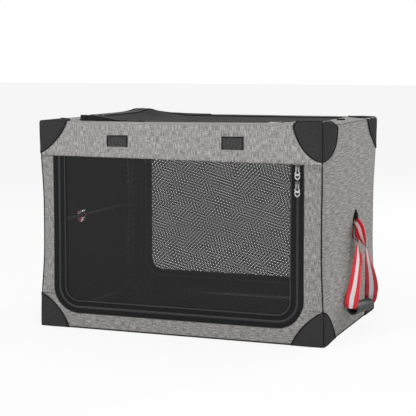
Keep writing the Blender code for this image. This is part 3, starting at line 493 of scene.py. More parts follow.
DOOR_SHIFT = -0.0045
SIDE_COIL_X = 0.2735
SIDE_COIL_LOW = 0.0475
COIL_CORNER, BEND_STEPS = 0.044, 10
BAND_TOP = 0.0745
PANEL_HALF = 0.3225
CLOTH_OUT = 0.0130
SIDES = (("front", 1), ("back", -1))


def on_side(turn, u, out, v):
    """A place on the front (1) or back (-1): u runs to the right as one faces that side."""
    return settled((turn * u, -turn * (DEPTH / 2 + out), v))


def zip_line(left, right, low, high, out, step):
    """Points down the left of a door, along its foot and up its right, with their outward directions."""
    line, corner = [], COIL_CORNER

    def straight(start, end, normal):
        count = max(2, ceil((Vector(end) - Vector(start)).length / step))
        for n in range(count):
            point = Vector(start).lerp(Vector(end), n / count)
            line.append(((point.x, point.y), normal))

    def bend(centre, first):
        for n in range(BEND_STEPS):
            angle = first + pi / 2 * n / BEND_STEPS
            normal = (round(cos(angle), 12), round(sin(angle), 12))
            line.append(((centre[0] + corner * normal[0], centre[1] + corner * normal[1]), normal))

    straight((left, high), (left, low + corner), (-1, 0))
    bend((left + corner, low + corner), pi)
    straight((left + corner, low), (right - corner, low), (0, -1))
    bend((right - corner, low + corner), 1.5 * pi)
    straight((right, low + corner), (right, high), (1, 0))
    line.append(((right, high), (1, 0)))
    return [((u + out * nu, v + out * nv), (nu, nv)) for (u, v), (nu, nv) in line]


def side_line(out, top, step=0.02):
    """A side door's zip."""
    return zip_line(DOOR_SHIFT - SIDE_COIL_X, DOOR_SHIFT + SIDE_COIL_X, SIDE_COIL_LOW, top, out, step)


def outer_match(line, half, low):
    """For each point of a door line, the matching point on the square outline round it."""
    found = []
    for (u, v), (nu, nv) in line:
        side = 1 if nu > 0 else -1
        corner = (DOOR_SHIFT + side * (SIDE_COIL_X - COIL_CORNER), SIDE_COIL_LOW + COIL_CORNER)
        if nv == 0:
            found.append((half * nu, v))
        elif nu == 0:
            found.append((u, low))
        elif abs(nu) >= abs(nv):
            found.append((side * half, corner[1] + (low - corner[1]) * abs(nv / nu)))
        else:
            found.append((corner[0] + (side * half - corner[0]) * abs(nu / nv), low))
    return found


# Painted shade: the cloth round each side door is the grey cloth 14% darker (shade 0.86), for the light it lacks.
shaded_band_cloth = heather("grey_cloth_with_band_painted_shade", shade=0.86, band_top=BAND_TOP)
surround_top = SEAM_HEIGHT - 0.0005
surround_rows = between([point for point, _ in side_line(CLOTH_OUT, surround_top)],
                        outer_match(side_line(0, surround_top), PANEL_HALF, WALL_LOW),
                        [0, 0.06, 0.15, 0.3, 0.45, 0.6, 0.72, 0.82, 0.88, 0.93, 0.97, 1])
for side, turn in SIDES:
    def surround_place(u, v):
        near = fade_in(min(PANEL_HALF - abs(u), v - WALL_LOW), 0.012)
        return on_side(turn, u, -0.0001 + slack(u, v, 0.05, 0.0011, 5.0) * near, v)

    surround = cloth_sheet(side + "_door_cloth", surround_rows, surround_place, (0, -turn, 0),
                           [shaded_band_cloth, black_lining])
    sew(surround, "base", 0, side + "_surround")
    for n, sign in enumerate((-1, 1)):
        start = sign * PANEL_HALF
        reach = DOOR_SHIFT + sign * (SIDE_COIL_X + CLOTH_OUT) - start
        seam_line = [on_side(turn, start + reach * m / 6, 0.0001, BAND_TOP) for m in range(7)]
        sew(tube("%s_band_seam_%d" % (side, n + 1), seam_line, 0.00045, black_edge), "base", 0)

# Bands over the side doors
# A straight band of the same cloth closes each side over its door. Its lower edge is turned in and sewn
# to the door, and a row of stitches runs just above it.

STITCH_LONG, STITCH_GAP, STITCH_RADIUS = 0.0026, 0.0016, 0.00028


def stitch_row(name, points, finish, out):
    """A row of short sewn threads along a line of points."""
    places, faces = [], []
    raised = Vector(out) * STITCH_RADIUS
    travelled, start = 0.0, 0.0
    for one, two in zip(points, points[1:]):
        one, two = Vector(one), Vector(two)
        run = (two - one).length
        along = (two - one).normalized()
        across = along.cross(Vector(out)).normalized() * STITCH_RADIUS
        while start + STITCH_LONG <= travelled + run:
            if start >= travelled:
                low = one + along * (start - travelled)
                high = low + along * STITCH_LONG
                base = len(places)
                for end in (low, high):
                    places += [end + across, end + raised, end - across, end - raised]
                for k in range(4):
                    m = (k + 1) % 4
                    faces.append((base + k, base + m, base + 4 + m, base + 4 + k))
                faces += [(base + 3, base + 2, base + 1, base), (base + 4, base + 5, base + 6, base + 7)]
            start += STITCH_LONG + STITCH_GAP
        travelled += run
    return new_piece(name, places, faces, [finish], wrapped(places))


grey_thread, _ = new_finish("grey_thread", (0.20, 0.197, 0.19), 0.7)
dark_thread, _ = new_finish("dark_thread", (0.03, 0.03, 0.031), 0.6)
columns = [-PANEL_HALF + 2 * PANEL_HALF * n / 72 for n in range(73)]
columns += [way * (PANEL_HALF - near) for way in (-1, 1) for near in (0.0012, 0.0025, 0.004, 0.006)]
band_rows = [[(u, v) for u in sorted(columns)]
             for v in (SEAM_HEIGHT + 0.0004, 0.384, 0.390, 0.399, 0.408, 0.417, 0.426, 0.435, 0.444, 0.450, 0.4525,
                       0.4545, 0.4565, CLOTH_TOP)]
for side, turn in SIDES:
    def band_place(u, v):
        near = fade_in(min(PANEL_HALF - abs(u), v - SEAM_HEIGHT), 0.02)
        return on_side(turn, u, slack(u, v * 1.6, 0.07, 0.0014, 9.0) * near, v)

    band = cloth_sheet(side + "_band", band_rows, band_place, (0, -turn, 0), [grey_cloth, black_lining])
    sew(band, "headers", SEAM_HEIGHT, side + "_header")
    line = [band_place(-PANEL_HALF + 2 * PANEL_HALF * n / 60, SEAM_HEIGHT + 0.0036) for n in range(61)]
    row = stitch_row(side + "_band_stitches", line, grey_thread, (0, -turn, 0))
    sew(row, "headers", SEAM_HEIGHT)

# Top cloth
# A ring of cloth round the top door. The door's slack lifts its left end, and the black edge of the
# doorway rises with it along the front and back.

TOP_COIL_Y = 0.1930
TOP_COIL_LEFT = -0.2215
TOP_HINGE_X = 0.2620
HINGE_GAP = 0.0006
EDGE_RISE, EDGE_LEVEL_TO, EDGE_LEVEL_OVER = 0.0116, 0.120, 0.130
HUMP_RISE, HUMP_Y, HUMP_SPREAD = 0.0060, 0.095, 0.045
RISE_LONG = 0.105
RISE_FADE, LEFT_FADE = 0.24, 0.24


def top_rise(x, y):
    """How far the door's slack lifts the top."""
    left = 1 - fade_in(x - TOP_COIL_LEFT, RISE_LONG)
    level = 1 - fade_in(y - EDGE_LEVEL_TO, EDGE_LEVEL_OVER)
    return left * (EDGE_RISE * level + HUMP_RISE * exp(-(((y - HUMP_Y) / HUMP_SPREAD) ** 2)))


def top_line(out, hinge):
    """The top door's zip: from the hinge along the back, round the left end and along the front."""
    line = zip_line(-TOP_COIL_Y, TOP_COIL_Y, TOP_COIL_LEFT, hinge, out, 0.012)
    return [((v, -u), (nv, -nu)) for (u, v), (nu, nv) in line]


doorway = [point for point, _ in top_line(CLOTH_OUT, TOP_HINGE_X + HINGE_GAP)]
far = doorway[-1][1]
doorway += [(TOP_HINGE_X + HINGE_GAP, far - far * 2 * n / 12) for n in range(1, 12)]
rim = [(WIDTH / 2, DEPTH / 2), (-WIDTH / 2, DEPTH / 2), (-WIDTH / 2, -DEPTH / 2), (WIDTH / 2, -DEPTH / 2)]
middle = Vector(((TOP_HINGE_X + TOP_COIL_LEFT) / 2, 0))
around = sorted({round((Vector(point) - middle).angle_signed(Vector((1, 0))), 9) for point in doorway + rim})
door_loop = [ray_meet(doorway, middle, angle) for angle in around]
rim_loop = [ray_meet(rim, middle, angle) for angle in around]
PARTS = [0, RISE_FADE * 0.25, RISE_FADE * 0.5, RISE_FADE * 0.75, RISE_FADE, 0.4, 0.6, 0.75, 0.86, 0.93, 0.97, 1]
top_rows = between(door_loop, rim_loop, PARTS)
heights = {}
for part, row in zip(PARTS, top_rows):
    for near, point in zip(door_loop, row):
        left = fade_in(-TOP_COIL_Y - CLOTH_OUT + 0.03 - near[0], 0.03) * (abs(near[1]) < 0.19)
        sharp, smooth = max(0.0, 1 - part / LEFT_FADE), 1 - fade_in(part, RISE_FADE)
        heights[point] = top_rise(*near) * (smooth + (sharp - smooth) * left)


def top_place(x, y):
    """Where a point of the top cloth lies."""
    edge = min(WIDTH / 2 - abs(x), DEPTH / 2 - abs(y))
    rise = heights[(x, y)] + slack(x, y, 0.05, 0.001, 2.0) * fade_in(edge, 0.02) * 0.6
    return settled((x, y, TOP_FACE)) + Vector((0, 0, rise))


top_cloth = cloth_sheet("top_cloth", top_rows, top_place, (0, 0, 1),
                        [grey_cloth, black_lining, black_edge, black_edge], closed=True)
for face in top_cloth.data.polygons:
    if face.index // len(around) < 4 and face.center.x < 0.1:
        face.material_index = 2
sew(top_cloth, "top", node="top_panel")

# Facing of the top doorway
# A strip of dark cloth is sewn on edge along the front and the back of the doorway's raised left part, with
# its end hemmed. A short loop of black tape is sewn to the top at the right, to hang the crate by.

FACING_END, FACING_Y = -0.2345, -0.2075
facing_cloth = dark_cloth("facing_cloth", (0.022, 0.022, 0.023), 0.85, 0.0009, 0.3)
for side, turn in SIDES:
    def facing_place(x, share):
        tall = top_rise(max(x, TOP_COIL_LEFT), turn * FACING_Y) + 0.0012
        folds = noise(Vector((x / 0.045 + 3 * share, share / 0.24, 2.0 * turn)))
        crease = 0.0011 * folds * fade_in(x - FACING_END, 0.02)
        return settled((x, turn * (FACING_Y - crease), TOP_FACE)) + Vector((0, 0, tall * share))

    facing = cloth_sheet(side + "_facing", grid(FACING_END, 0.150, 50, 0, 1, 8), facing_place, (0, -turn, 0),
                         [facing_cloth], thick=0.0012)
    hem = cloth_sheet(side + "_facing_hem", grid(FACING_END, 0.0140, 6, 0, 1, 8),
                      lambda x, share: facing_place(x, share) + Vector((0, -turn * 0.0016, 0)), (0, -turn, 0),
                      [facing_cloth], thick=0.0034)
    for piece in (facing, hem):
        sew(piece, "top")


def loop_place(u, angle):
    """Where a point of the hanging loop lies."""
    return Vector((0.2905 + u, 0.027 - 0.0060 * cos(angle), TOP_FACE + 0.0004 + 0.0030 * sin(angle)))


loop_rows = [[(0.0160 * (n / 5 - 0.5), pi * m / 8) for n in range(6)] for m in range(9)]
hang_loop = cloth_sheet("hang_loop", loop_rows, loop_place, (0, 0, 1), [black_edge], thick=0.0009)
sew(hang_loop, "top")

# Zips
# Each door has a coil zip: black tape on the cloth, black tape with the coil on the door, and a corded
# edge where the door's net is sewn in.

TAPE_DEEP = 0.0004
TAPE_THICK = 0.0014
COIL_MIDDLE = TAPE_DEEP + TAPE_THICK / 2
TOOTH_PITCH = 0.0016
TAPE_INNER, TAPE_OUTER = 0.0027, 0.0139
TRIM_INNER, TRIM_OUTER = -0.0150, 0.00255
CORD_IN, CORD_OUT = -0.0140, 0.0136
TOOTH_SHARE = 0.36
TOOTH = ((-0.0026, -0.0006), (-0.0012, -0.0015), (0.0012, -0.0015), (0.0026, -0.0006), (0.0026, 0.0007),
         (-0.0026, 0.0007))


def outward(piece):
    """Point a closed piece's faces outward."""
    form = bmesh.new()
    form.from_mesh(piece.data)
    bmesh.ops.recalc_face_normals(form, faces=form.faces)
    form.to_mesh(piece.data)
    form.free()


def strip(name, line, inner, outer, place):
    """A flat strip of tape along a door line, with a soft edge."""
    low, high = TAPE_DEEP, TAPE_DEEP + TAPE_THICK
    section = [(inner, low + 0.0003), (inner + 0.0004, low), (outer - 0.0004, low), (outer, low + 0.0003),
               (outer, high), (inner, high)]
    points, flat, travelled = [], [], 0.0
    for n, ((u, v), (nu, nv)) in enumerate(line):
        if n:
            travelled += (Vector((u, v)) - Vector(line[n - 1][0])).length
        for out, deep in section:
            points.append(place(u + out * nu, v + out * nv, deep))
            flat.append((out, travelled))
    made = new_piece(name, points, capped(len(line), len(section)), [zip_tape], flat)
    made.data.set_sharp_from_angle(angle=radians(40))
    return made


def coil(name, line, place):
    """The row of nylon teeth, one small bar at each pitch."""
    points, faces = [], []
    travelled, goal = 0.0, 0.0
    for ((u, v), _), ((u2, v2), (nu, nv)) in zip(line, line[1:]):
        run = (Vector((u2, v2)) - Vector((u, v))).length
        while goal < travelled + run:
            part = (goal - travelled) / run
            a, b = u + (u2 - u) * part, v + (v2 - v) * part
            along = (-nv * TOOTH_PITCH * TOOTH_SHARE, nu * TOOTH_PITCH * TOOTH_SHARE)
            base = len(points)
            points += [place(a + out * nu + way * along[0], b + out * nv + way * along[1], COIL_MIDDLE + deep)
                       for out, deep in TOOTH for way in (-1, 1)]
            for k in range(6):
                m = (k + 1) % 6
                faces.append((base + 2 * k, base + 2 * m, base + 2 * m + 1, base + 2 * k + 1))
            faces += [tuple(base + 2 * k for k in range(6))[::-1], tuple(base + 2 * k + 1 for k in range(6))]
            goal += TOOTH_PITCH
        travelled += run
    return new_piece(name, points, faces, [coil_nylon], wrapped(points), smooth=False)


def zip_of(door, line, cord_line, cord_deep, cord_radius, place, still, heights):
    """The tape of a door's zip on the cloth, and the tape, coil and cord along the door's edge."""
    tape = strip(door + "_fixed_tape", line, TAPE_INNER, TAPE_OUTER, place)
    sew(tape, still, heights[0], door + "_zip_tape")
    trim = strip(door + "_door_tape", line, TRIM_INNER, TRIM_OUTER, place)
    sew(trim, door + "_door", heights[1], door + "_door_trim")
    teeth = coil(door + "_coil", line, place)
    cord_places = [place(*point, cord_deep) for point, _ in cord_line]
    cord = tube(door + "_door_cord", cord_places, cord_radius, cord_cloth)
    for piece in (teeth, cord):
        sew(piece, door + "_door", heights[1])
    for piece in (tape, trim, teeth):
        outward(piece)


def lid_place(x, y, deep):
    """A place under the top door's face."""
    return settled((x, y, TOP_FACE)) + Vector((0, 0, top_rise(x, y) - deep))


zip_tape = dark_cloth("zip_tape", (0.017, 0.017, 0.018), 0.75, 0.0007)
# Painted highlight: the coil and the cords are made a little lighter than the black tape, for the light along them.
coil_nylon, _ = new_finish("coil_nylon", (0.022, 0.022, 0.024), 0.38)
cord_cloth = dark_cloth("cord_cloth", (0.028, 0.028, 0.030), 0.42, 0.0005, specular=0.3)
door_top = SEAM_HEIGHT - HINGE_GAP
for side, turn in SIDES:
    def side_place(u, v, deep):
        return on_side(turn, u, -deep, v)

    zip_of(side, side_line(0, door_top, 0.03), side_line(CORD_IN, door_top), 0.0001, 0.0018, side_place, "base",
           (0, SEAM_HEIGHT))
    outer = [side_place(*point, 0.0002) for point, _ in side_line(CORD_OUT, door_top)]
    sew(tube(side + "_outer_cord", outer, 0.0008, cord_cloth), "base", 0)
hinge = TOP_HINGE_X - HINGE_GAP
zip_of("top", top_line(0, hinge), top_line(CORD_IN, hinge), 0.0003, 0.0013, lid_place, "top", (None, None))

# Net doors
# The doors are a fine black knitted net with six-sided holes, sewn in behind the zip tape.

NET_PITCH = 0.0041
HOLE_SHARE = 0.57
NET_UNDER = 0.0080
NET_DEEP = 0.0023
NET_TURN = radians(15)


def in_door(u, v, half, low, top, centre, inset):
    """Whether a place lies inside a door's outline, drawn in by an inset."""
    u = abs(u - centre)
    edge = half - inset
    if u > edge or v < low + inset or v > top:
        return False
    corner = COIL_CORNER - inset
    du, dv = u - (edge - corner), (low + inset + corner) - v
    return du <= 0 or dv <= 0 or du * du + dv * dv <= corner * corner


def net(name, half, low, top, centre, place, finish):
    """A flat net of hexagonal holes inside a door's outline."""
    row_step = NET_PITCH * sqrt(3) / 2
    reach = NET_PITCH / sqrt(3)
    corners = [(reach * cos(NET_TURN + radians(90 + 60 * k)), reach * sin(NET_TURN + radians(90 + 60 * k)))
               for k in range(6)]
    shared, flat, faces = {}, [], []

    def vertex(u, v):
        key = (round(u * 2e4), round(v * 2e4))
        if key not in shared:
            shared[key] = len(flat)
            flat.append((u, v))
        return shared[key]

    across = sqrt(half * half + (top - low) ** 2 / 4) + 0.004
    rows, columns = int(across / row_step) + 1, int(across / NET_PITCH) + 1
    middle = (low + top) / 2
    for j in range(-rows, rows + 1):
        for i in range(-columns, columns + 1):
            a, b = (i + (j % 2) / 2) * NET_PITCH, j * row_step
            u, v = centre + a * cos(NET_TURN) - b * sin(NET_TURN), middle + a * sin(NET_TURN) + b * cos(NET_TURN)
            if not in_door(u, v, half, low, top + 0.0024, centre, NET_UNDER):
                continue
            outer = [vertex(u + du, v + dv) for du, dv in corners]
            first = len(flat)
            flat += [(u + du * HOLE_SHARE, v + dv * HOLE_SHARE) for du, dv in corners]
            for k in range(6):
                m = (k + 1) % 6
                faces.append((outer[k], outer[m], first + m, first + k))
    pulled = [(u + slack(u, v, 0.05, 0.0014, 7.0), v + slack(u, v, 0.05, 0.0014, 8.0)) for u, v in flat]
    return new_piece(name, [place(u, v) for u, v in pulled], faces, [finish], flat)


def grain(shader, scale, kind="TexNoise"):
    """A fine even pattern all over a piece."""
    place = new_node(shader.id_data, "TexCoord").outputs["Object"]
    return new_node(shader.id_data, kind, {"Vector": place, "Scale": scale}).outputs[0]


black_net, shader = new_finish("black_net", (0.030, 0.030, 0.031), 0.6, specular=0.05)
bumped(shader, grain(shader, 900), 0.0002)
for side, turn in SIDES:
    mesh = net(side + "_net", SIDE_COIL_X, SIDE_COIL_LOW, SEAM_HEIGHT - 0.0004, DOOR_SHIFT,
               lambda u, v: on_side(turn, u, -NET_DEEP, v), black_net)
    sew(mesh, side + "_door", SEAM_HEIGHT, side + "_door_net")
lid = net("top_net", TOP_COIL_Y, TOP_COIL_LEFT, TOP_HINGE_X - 0.0004, 0.0, lambda u, v: lid_place(v, -u, NET_DEEP),
          black_net)
sew(lid, "top_door", node="top_door_net")

# Fly of the top door
# A thin black cloth lies under the left part of the top door's net and is sewn into the door's edge.

fly = cloth_sheet("top_door_fly", grid(-0.2225, 0.130, 30, -0.186, 0.372, 48),
                  lambda x, y: lid_place(x, y, 0.0032), (0, 0, 1), [facing_cloth], thick=0.0006)
sew(fly, "top_door")

# Zip sliders and pulls
# Worn plated sliders, two to a zip, each with a bright flat pull tab that hangs on its bail.


def spotted(shader, socket, scale, low, high):
    """Change one of a shader's values a little from spot to spot."""
    feed(shader.inputs[socket], ramped(grain(shader, scale), ((0.3, (low,) * 3), (0.7, (high,) * 3))))


def finish_nodes(names, finish):
    """Give CAD nodes a finish in place of their plain one."""
    for name in names:
        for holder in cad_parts[name].material_slots:
            holder.material = finish


dull_metal, shader = new_finish("dull_metal", (0.12, 0.118, 0.115), 0.38, 1.0)
spotted(shader, "Base Color", 420, 0.06, 0.18)
bright_metal, shader = new_finish("bright_metal", (0.50, 0.485, 0.48), 0.26, 1.0)
spotted(shader, "Roughness", 420, 0.22, 0.38)
sliders = ["%s_%s_" % (door, level) for door in ("front", "back", "top") for level in ("upper", "lower")]
finish_nodes([slider + "zip_slider" for slider in sliders], dull_metal)

TAB_EDGE = ((0, 0), (0.02, 0.30), (0.07, 0.60), (0.15, 0.88), (0.24, 1.0), (0.34, 0.96), (0.42, 0.86), (0.47, 0.86),
            (0.52, 0.98), (0.59, 1.0), (0.64, 0.84), (0.675, 0.567), (1.0, 0.567))
TAB_HOLE = ((0.075, 0), (0.11, 0.20), (0.25, 0.72), (0.29, 0.80), (0.325, 0.70), (0.335, 0))
TAB_ROUND = 0.0002
TAB_SLOT = ((0.48, 0), (0.50, 0.34), (0.56, 0.66), (0.61, 0.62), (0.67, 0.333), (0.962, 0.333))


def pull_tab(name, node, slider):
    """A flat stamped tab in a pull's place, with a three-cornered hole at its end and a slot for the bail."""
    low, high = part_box(node)
    size, middle = high - low, (low + high) / 2
    along = 2 if size.z > size.x else 0
    deep = min(range(3), key=lambda axis: size[axis])
    aside = 3 - along - deep
    hub = sum(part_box(slider), Vector()) / 2
    way = 1 if hub[along] > middle[along] else -1
    line = bpy.data.curves.new(name, "CURVE")
    line.dimensions = "2D"
    line.fill_mode = "BOTH"
    line.extrude = size[deep] / 2 - TAB_ROUND
    line.bevel_depth = TAB_ROUND
    long, half = size[along] - 2 * TAB_ROUND, size[aside] / 2 - TAB_ROUND
    for edge in (TAB_EDGE, TAB_HOLE, TAB_SLOT):
        ring = list(edge) + [(a, -b) for a, b in edge[::-1] if b]
        add_spline(line, [((a - 0.5) * long, b * half, 0) for a, b in ring], True)
    tab = from_curve(name, line, bright_metal)
    for vertex in tab.data.vertices:
        place = middle.copy()
        place[along] += way * vertex.co.x
        place[aside] += vertex.co.y
        place[deep] += vertex.co.z
        vertex.co = place
    outward(tab)
    return tab


for slider in sliders:
    tab = pull_tab(slider + "pull_tab", slider + "zip_pull", slider + "zip_slider")
    sew(tab, slider + "pull", node=slider + "zip_pull")

# Corner covers
# Charcoal cloth patches wrap the eight corners of the box. Each has a bound curved edge and a corded seam
# along the box's edges.

COVER_FRONT, COVER_END, COVER_TALL = 0.067, 0.098, 0.073
COVER_OUT = 0.0011
SHOULDER_TALL = 0.012
STITCH_IN = 0.0042
cover_cloth = dark_cloth("cover_cloth", (0.040, 0.040, 0.0405), 0.85, 0.0008, 0.15)
RISES = (0, 0.02, 0.04, 0.06, 0.085, 0.12, 0.17, 0.24, 0.32, 0.40, 0.48, 0.56, 0.64, 0.71, 0.78, 0.84, 0.89, 0.93, 0.96,
         0.985, 0.996, 0.9995)
REACHES = (0, 0.02, 0.04, 0.06, 0.09, 0.14, 0.24, 0.36, 0.50, 0.65, 0.80, 0.92, 1)


def patch(reach, rise, power, shoulder=1.0):
    """Flat rows of a corner patch, from the box's edge to its curved edge. Its reach beside the box's other
    edge may start narrower, at a shoulder."""
    rows = []
    for share in RISES:
        edge = reach * (1 - share ** power) ** (1 / power)
        edge *= shoulder + (1 - shoulder) * fade_in(share * rise + 0.002, SHOULDER_TALL)
        rows.append([(edge * part, share * rise, part) for part in REACHES])
    return rows


def corner_patch(name, rows, corner, way_u, way_v, out, body, height, puffed=1.0, node=None):
    """One side of a cover, puffed a little off the wall, with its bound edge and stitches."""
    corner, way_u, way_v, out = Vector(corner), Vector(way_u), Vector(way_v), Vector(out)

    def place(u, v, part):
        puff = puffed * (COVER_OUT + 0.0012 * sin(pi * part) + slack(u, v, 0.02, 0.0006, 4.0))
        return settled(corner + way_u * u + way_v * v + out * puff)

    made = cloth_sheet(name, rows, place, out, [cover_cloth], thick=0.0011)
    binding = tube(name + "_binding", [place(*row[-1]) + out * 0.0002 for row in rows], 0.0014, black_edge)
    inner = [place(max(0.0, row[-1][0] - STITCH_IN), row[-1][1] * 0.955, 0.97) + out * 0.0004 for row in rows]
    sew(made, body, height, node)
    for piece in (binding, stitch_row(name + "_stitches", inner, dark_thread, out)):
        sew(piece, body, height)


BOWS = {("upper", -1): (1.36, 1.0, 1.35, 1.0), ("upper", 1): (1.75, 0.86, 2.4, 0.76),
        ("lower", -1): (1.45, 1.0, 1.35, 1.0), ("lower", 1): (1.37, 1.0, 1.35, 1.0)}
for level, base, up, body, height in (("lower", 0.0, 1, "base", 0.0),
                                      ("upper", TOP_FACE + 0.0006, -1, "top", HEIGHT)):
    for side, sy in (("front", -1), ("back", 1)):
        for end, sx in (("left", -1), ("right", 1)):
            name = "_".join((level, side, end, "cover"))
            corner = (sx * WIDTH / 2, sy * DEPTH / 2, base)
            bow, shoulder, end_bow, end_shoulder = BOWS[(level, -sx * sy)]
            corner_patch(name + "_face", patch(COVER_FRONT, COVER_TALL, bow, shoulder), corner, (-sx, 0, 0),
                         (0, 0, up), (0, sy, 0), body, height, node=name)
            corner_patch(name + "_end", patch(COVER_END, COVER_TALL, end_bow, end_shoulder), corner, (0, -sy, 0),
                         (0, 0, up), (sx, 0, 0), body, height)
            if level == "upper":
                corner_patch(name + "_lid", patch(COVER_FRONT * shoulder, COVER_END * end_shoulder, 1.5), corner,
                             (-sx, 0, 0), (0, -sy, 0), (0, 0, 1), body, None, puffed=0.3 if sx < 0 else 0.6)

# Cord along the box's edges
# A thin dark cord is sewn into each upright edge. The rim of the top has a grey cord at the front and the
# back, between the covers, and a dark one at each end.

CORD_OFF = 0.0004


def edge_place(sx, sy, z):
    """A place just off an upright edge of the box."""
    return Vector((sx * (WIDTH / 2 + CORD_OFF), sy * (DEPTH / 2 + CORD_OFF), z))


for sx in (-1, 1):
    for sy in (-1, 1):
        name = "%s_%s_edge_cord" % ("front" if sy < 0 else "back", "left" if sx < 0 else "right")
        for ending, low, tall, steps, body, height in (("", 0.004, 0.3755, 24, "base", 0),
                                                       ("_top", 0.3805, 0.0780, 12, "headers", SEAM_HEIGHT)):
            line = [settled(edge_place(sx, sy, low + tall * n / steps)) for n in range(steps + 1)]
            sew(tube(name + ending, line, 0.0012, black_edge), body, height)
# Painted highlight: the grey rim cord is the grey cloth 15% lighter (shade 1.15), for the light on the rim's fold.
grey_cord_painted_highlight = heather("grey_cord_painted_highlight", shade=1.15)
RIM = ((-1, -1), (1, -1), (1, 1), (-1, 1))
for n in range(4):
    low, high = [edge_place(*RIM[k % 4], TOP_FACE + CORD_OFF) for k in (n, n + 1)]
    if n % 2 == 0:
        low, high = low.lerp(high, 0.105), high.lerp(low, 0.095)
    line = [settled(low.lerp(high, part / 60)) for part in range(61)]
    radius, finish = (0.0017, grey_cord_painted_highlight) if n % 2 == 0 else (0.0016, cord_cloth)
    sew(tube("rim_cord_%d" % (n + 1), line, radius, finish), "top")

# Tabs on the bands
# Two short pieces of dark webbing with a raised edge are sewn to each band, to hold a rolled-up door.

webbing = dark_cloth("webbing", (0.055, 0.055, 0.056), 0.6, 0.0011, 0.3)
TAB_HALF, TAB_LOW, TAB_HIGH, TAB_RIM = 0.0245, 0.4050, 0.4305, 0.0015
edge = TAB_HALF - TAB_RIM
path = [(-edge, TAB_LOW), (-edge, TAB_HIGH - TAB_RIM), (edge, TAB_HIGH - TAB_RIM), (edge, TAB_LOW)]
for side, turn in SIDES:
    for tab, centre in (("_first_tab", -0.1365), ("_second_tab", 0.127)):
        def tab_place(u, v):
            return on_side(turn, centre + u, 0.0016 + slack(u, v, 0.01, 0.0003), v)

        name = side + tab
        rows = grid(-TAB_HALF, 2 * TAB_HALF, 12, TAB_LOW, TAB_HIGH - TAB_LOW, 7)
        base = cloth_sheet(name + "_webbing", rows, tab_place, (0, -turn, 0), [webbing], thick=0.0012)
        sew(base, "headers", SEAM_HEIGHT, name)
        rim = tube(name + "_rim", [tab_place(u, v) for u, v in path], 0.0014, black_edge)
        line = [tab_place(u * 0.85, TAB_LOW + (v - TAB_LOW) * 0.85) + Vector((0, -turn * 0.0003, 0))
                for u, v in path]
        for piece in (rim, stitch_row(name + "_stitches", line, dark_thread, (0, -turn, 0))):
            sew(piece, "headers", SEAM_HEIGHT)

# Floor board and mat
# A stiff board in a black cloth sleeve is the floor, and a thin padded mat lies on it.

floor_sleeve, shader = new_finish("floor_sleeve", (0.015, 0.015, 0.016), 0.85)
bumped(shader, grain(shader, 700), 0.0004)
finish_nodes(["floor_board"], floor_sleeve)

mat_pile = dark_cloth("mat_pile", (0.012, 0.012, 0.0125), 0.95, 0.0022, 0.4)
mat_low, mat_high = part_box("floor_mat")
MAT_CORNER, MAT_WAIST, MAT_MOVE = 0.04, 0.004, 0.006
MAT_BEND_STEPS, MAT_SIDE_STEPS, SWELL_STEPS = 8, 10, 20


def mat_ring(inset):
    """The mat's outline, drawn in by an inset, with its sides a little hollow."""
    half_x, half_y = mat_high.x - inset, mat_high.y - inset
    ring = []
    for n, (sx, sy) in enumerate(((1, 1), (-1, 1), (-1, -1), (1, -1))):
        centre = (sx * (half_x - MAT_CORNER), sy * (half_y - MAT_CORNER))
        for m in range(MAT_BEND_STEPS):
            angle = n * pi / 2 + pi / 2 * m / MAT_BEND_STEPS
            ring.append((centre[0] + MAT_CORNER * cos(angle), centre[1] + MAT_CORNER * sin(angle)))
        span = (half_y if n % 2 else half_x) - MAT_CORNER
        normal = (cos((n + 1) * pi / 2), sin((n + 1) * pi / 2))
        start = (centre[0] + MAT_CORNER * normal[0], centre[1] + MAT_CORNER * normal[1])
        for m in range(MAT_SIDE_STEPS):
            part = m / MAT_SIDE_STEPS
            pull = MAT_WAIST * sin(pi * part)
            ring.append((start[0] - normal[1] * 2 * span * part - normal[0] * pull,
                         start[1] + normal[0] * 2 * span * part - normal[1] * pull))
    return ring


levels = ((0.014, 0.0), (0.006, 0.0006), (0.003, 0.003), (0.002, 0.0065), (0.003, 0.010), (0.007, 0.0132),
          (0.014, 0.0152), (0.05, 0.0160))
points = [Vector((x, y, mat_low.z + height)) for inset, height in levels for x, y in mat_ring(inset)]
mat = new_piece("mat_pad", points, capped(len(levels), len(mat_ring(0))), [mat_pile])
outward(mat)


def keep_shape(piece):
    """Turn what a piece's modifiers make of it into its mesh."""
    made = mesh_of(piece)
    piece.modifiers.clear()
    piece.data = made


even = mat.modifiers.new("even", "REMESH")
even.mode = "VOXEL"
even.voxel_size = 0.006
keep_shape(mat)
before = [vertex.co.copy() for vertex in mat.data.vertices]
swell = mat.modifiers.new("swell", "CLOTH")
swell.settings.use_pressure = True
swell.settings.uniform_pressure_force = 4
swell.settings.effector_weights.gravity = 0
swell.point_cache.frame_start, swell.point_cache.frame_end = 1, SWELL_STEPS
for step in range(1, SWELL_STEPS + 1):
    scene.frame_set(step)
keep_shape(mat)
scene.frame_set(1)
for vertex, start in zip(mat.data.vertices, before):
    shift = vertex.co - start
    if shift.length > MAT_MOVE:
        shift *= MAT_MOVE / shift.length
    tuft = 0.0010 * noise(Vector((start.x * 14, start.y * 14, 1.0)))
    place = start + shift + Vector((0, 0, tuft))
    vertex.co = [max(low, min(high, part)) for low, high, part in zip(mat_low, mat_high, place)]
finer = mat.modifiers.new("finer", "SUBSURF")
finer.levels = finer.render_levels = 1
keep_shape(mat)
lay_flat(mat.data, [(vertex.co.x, vertex.co.y + vertex.co.z) for vertex in mat.data.vertices])
mat.data.shade_smooth()
sew(mat, "base", node="floor_mat")
seam_line = [Vector((x, y, mat_low.z + 0.0065)) for x, y in mat_ring(-0.0004)]
sew(tube("mat_seam", seam_line, 0.0011, black_edge, closed=True), "base")

# Tube frame
# Steel tube rings and legs with flat lugs and plates welded on, and the knee bars between them, all coated
# satin black.

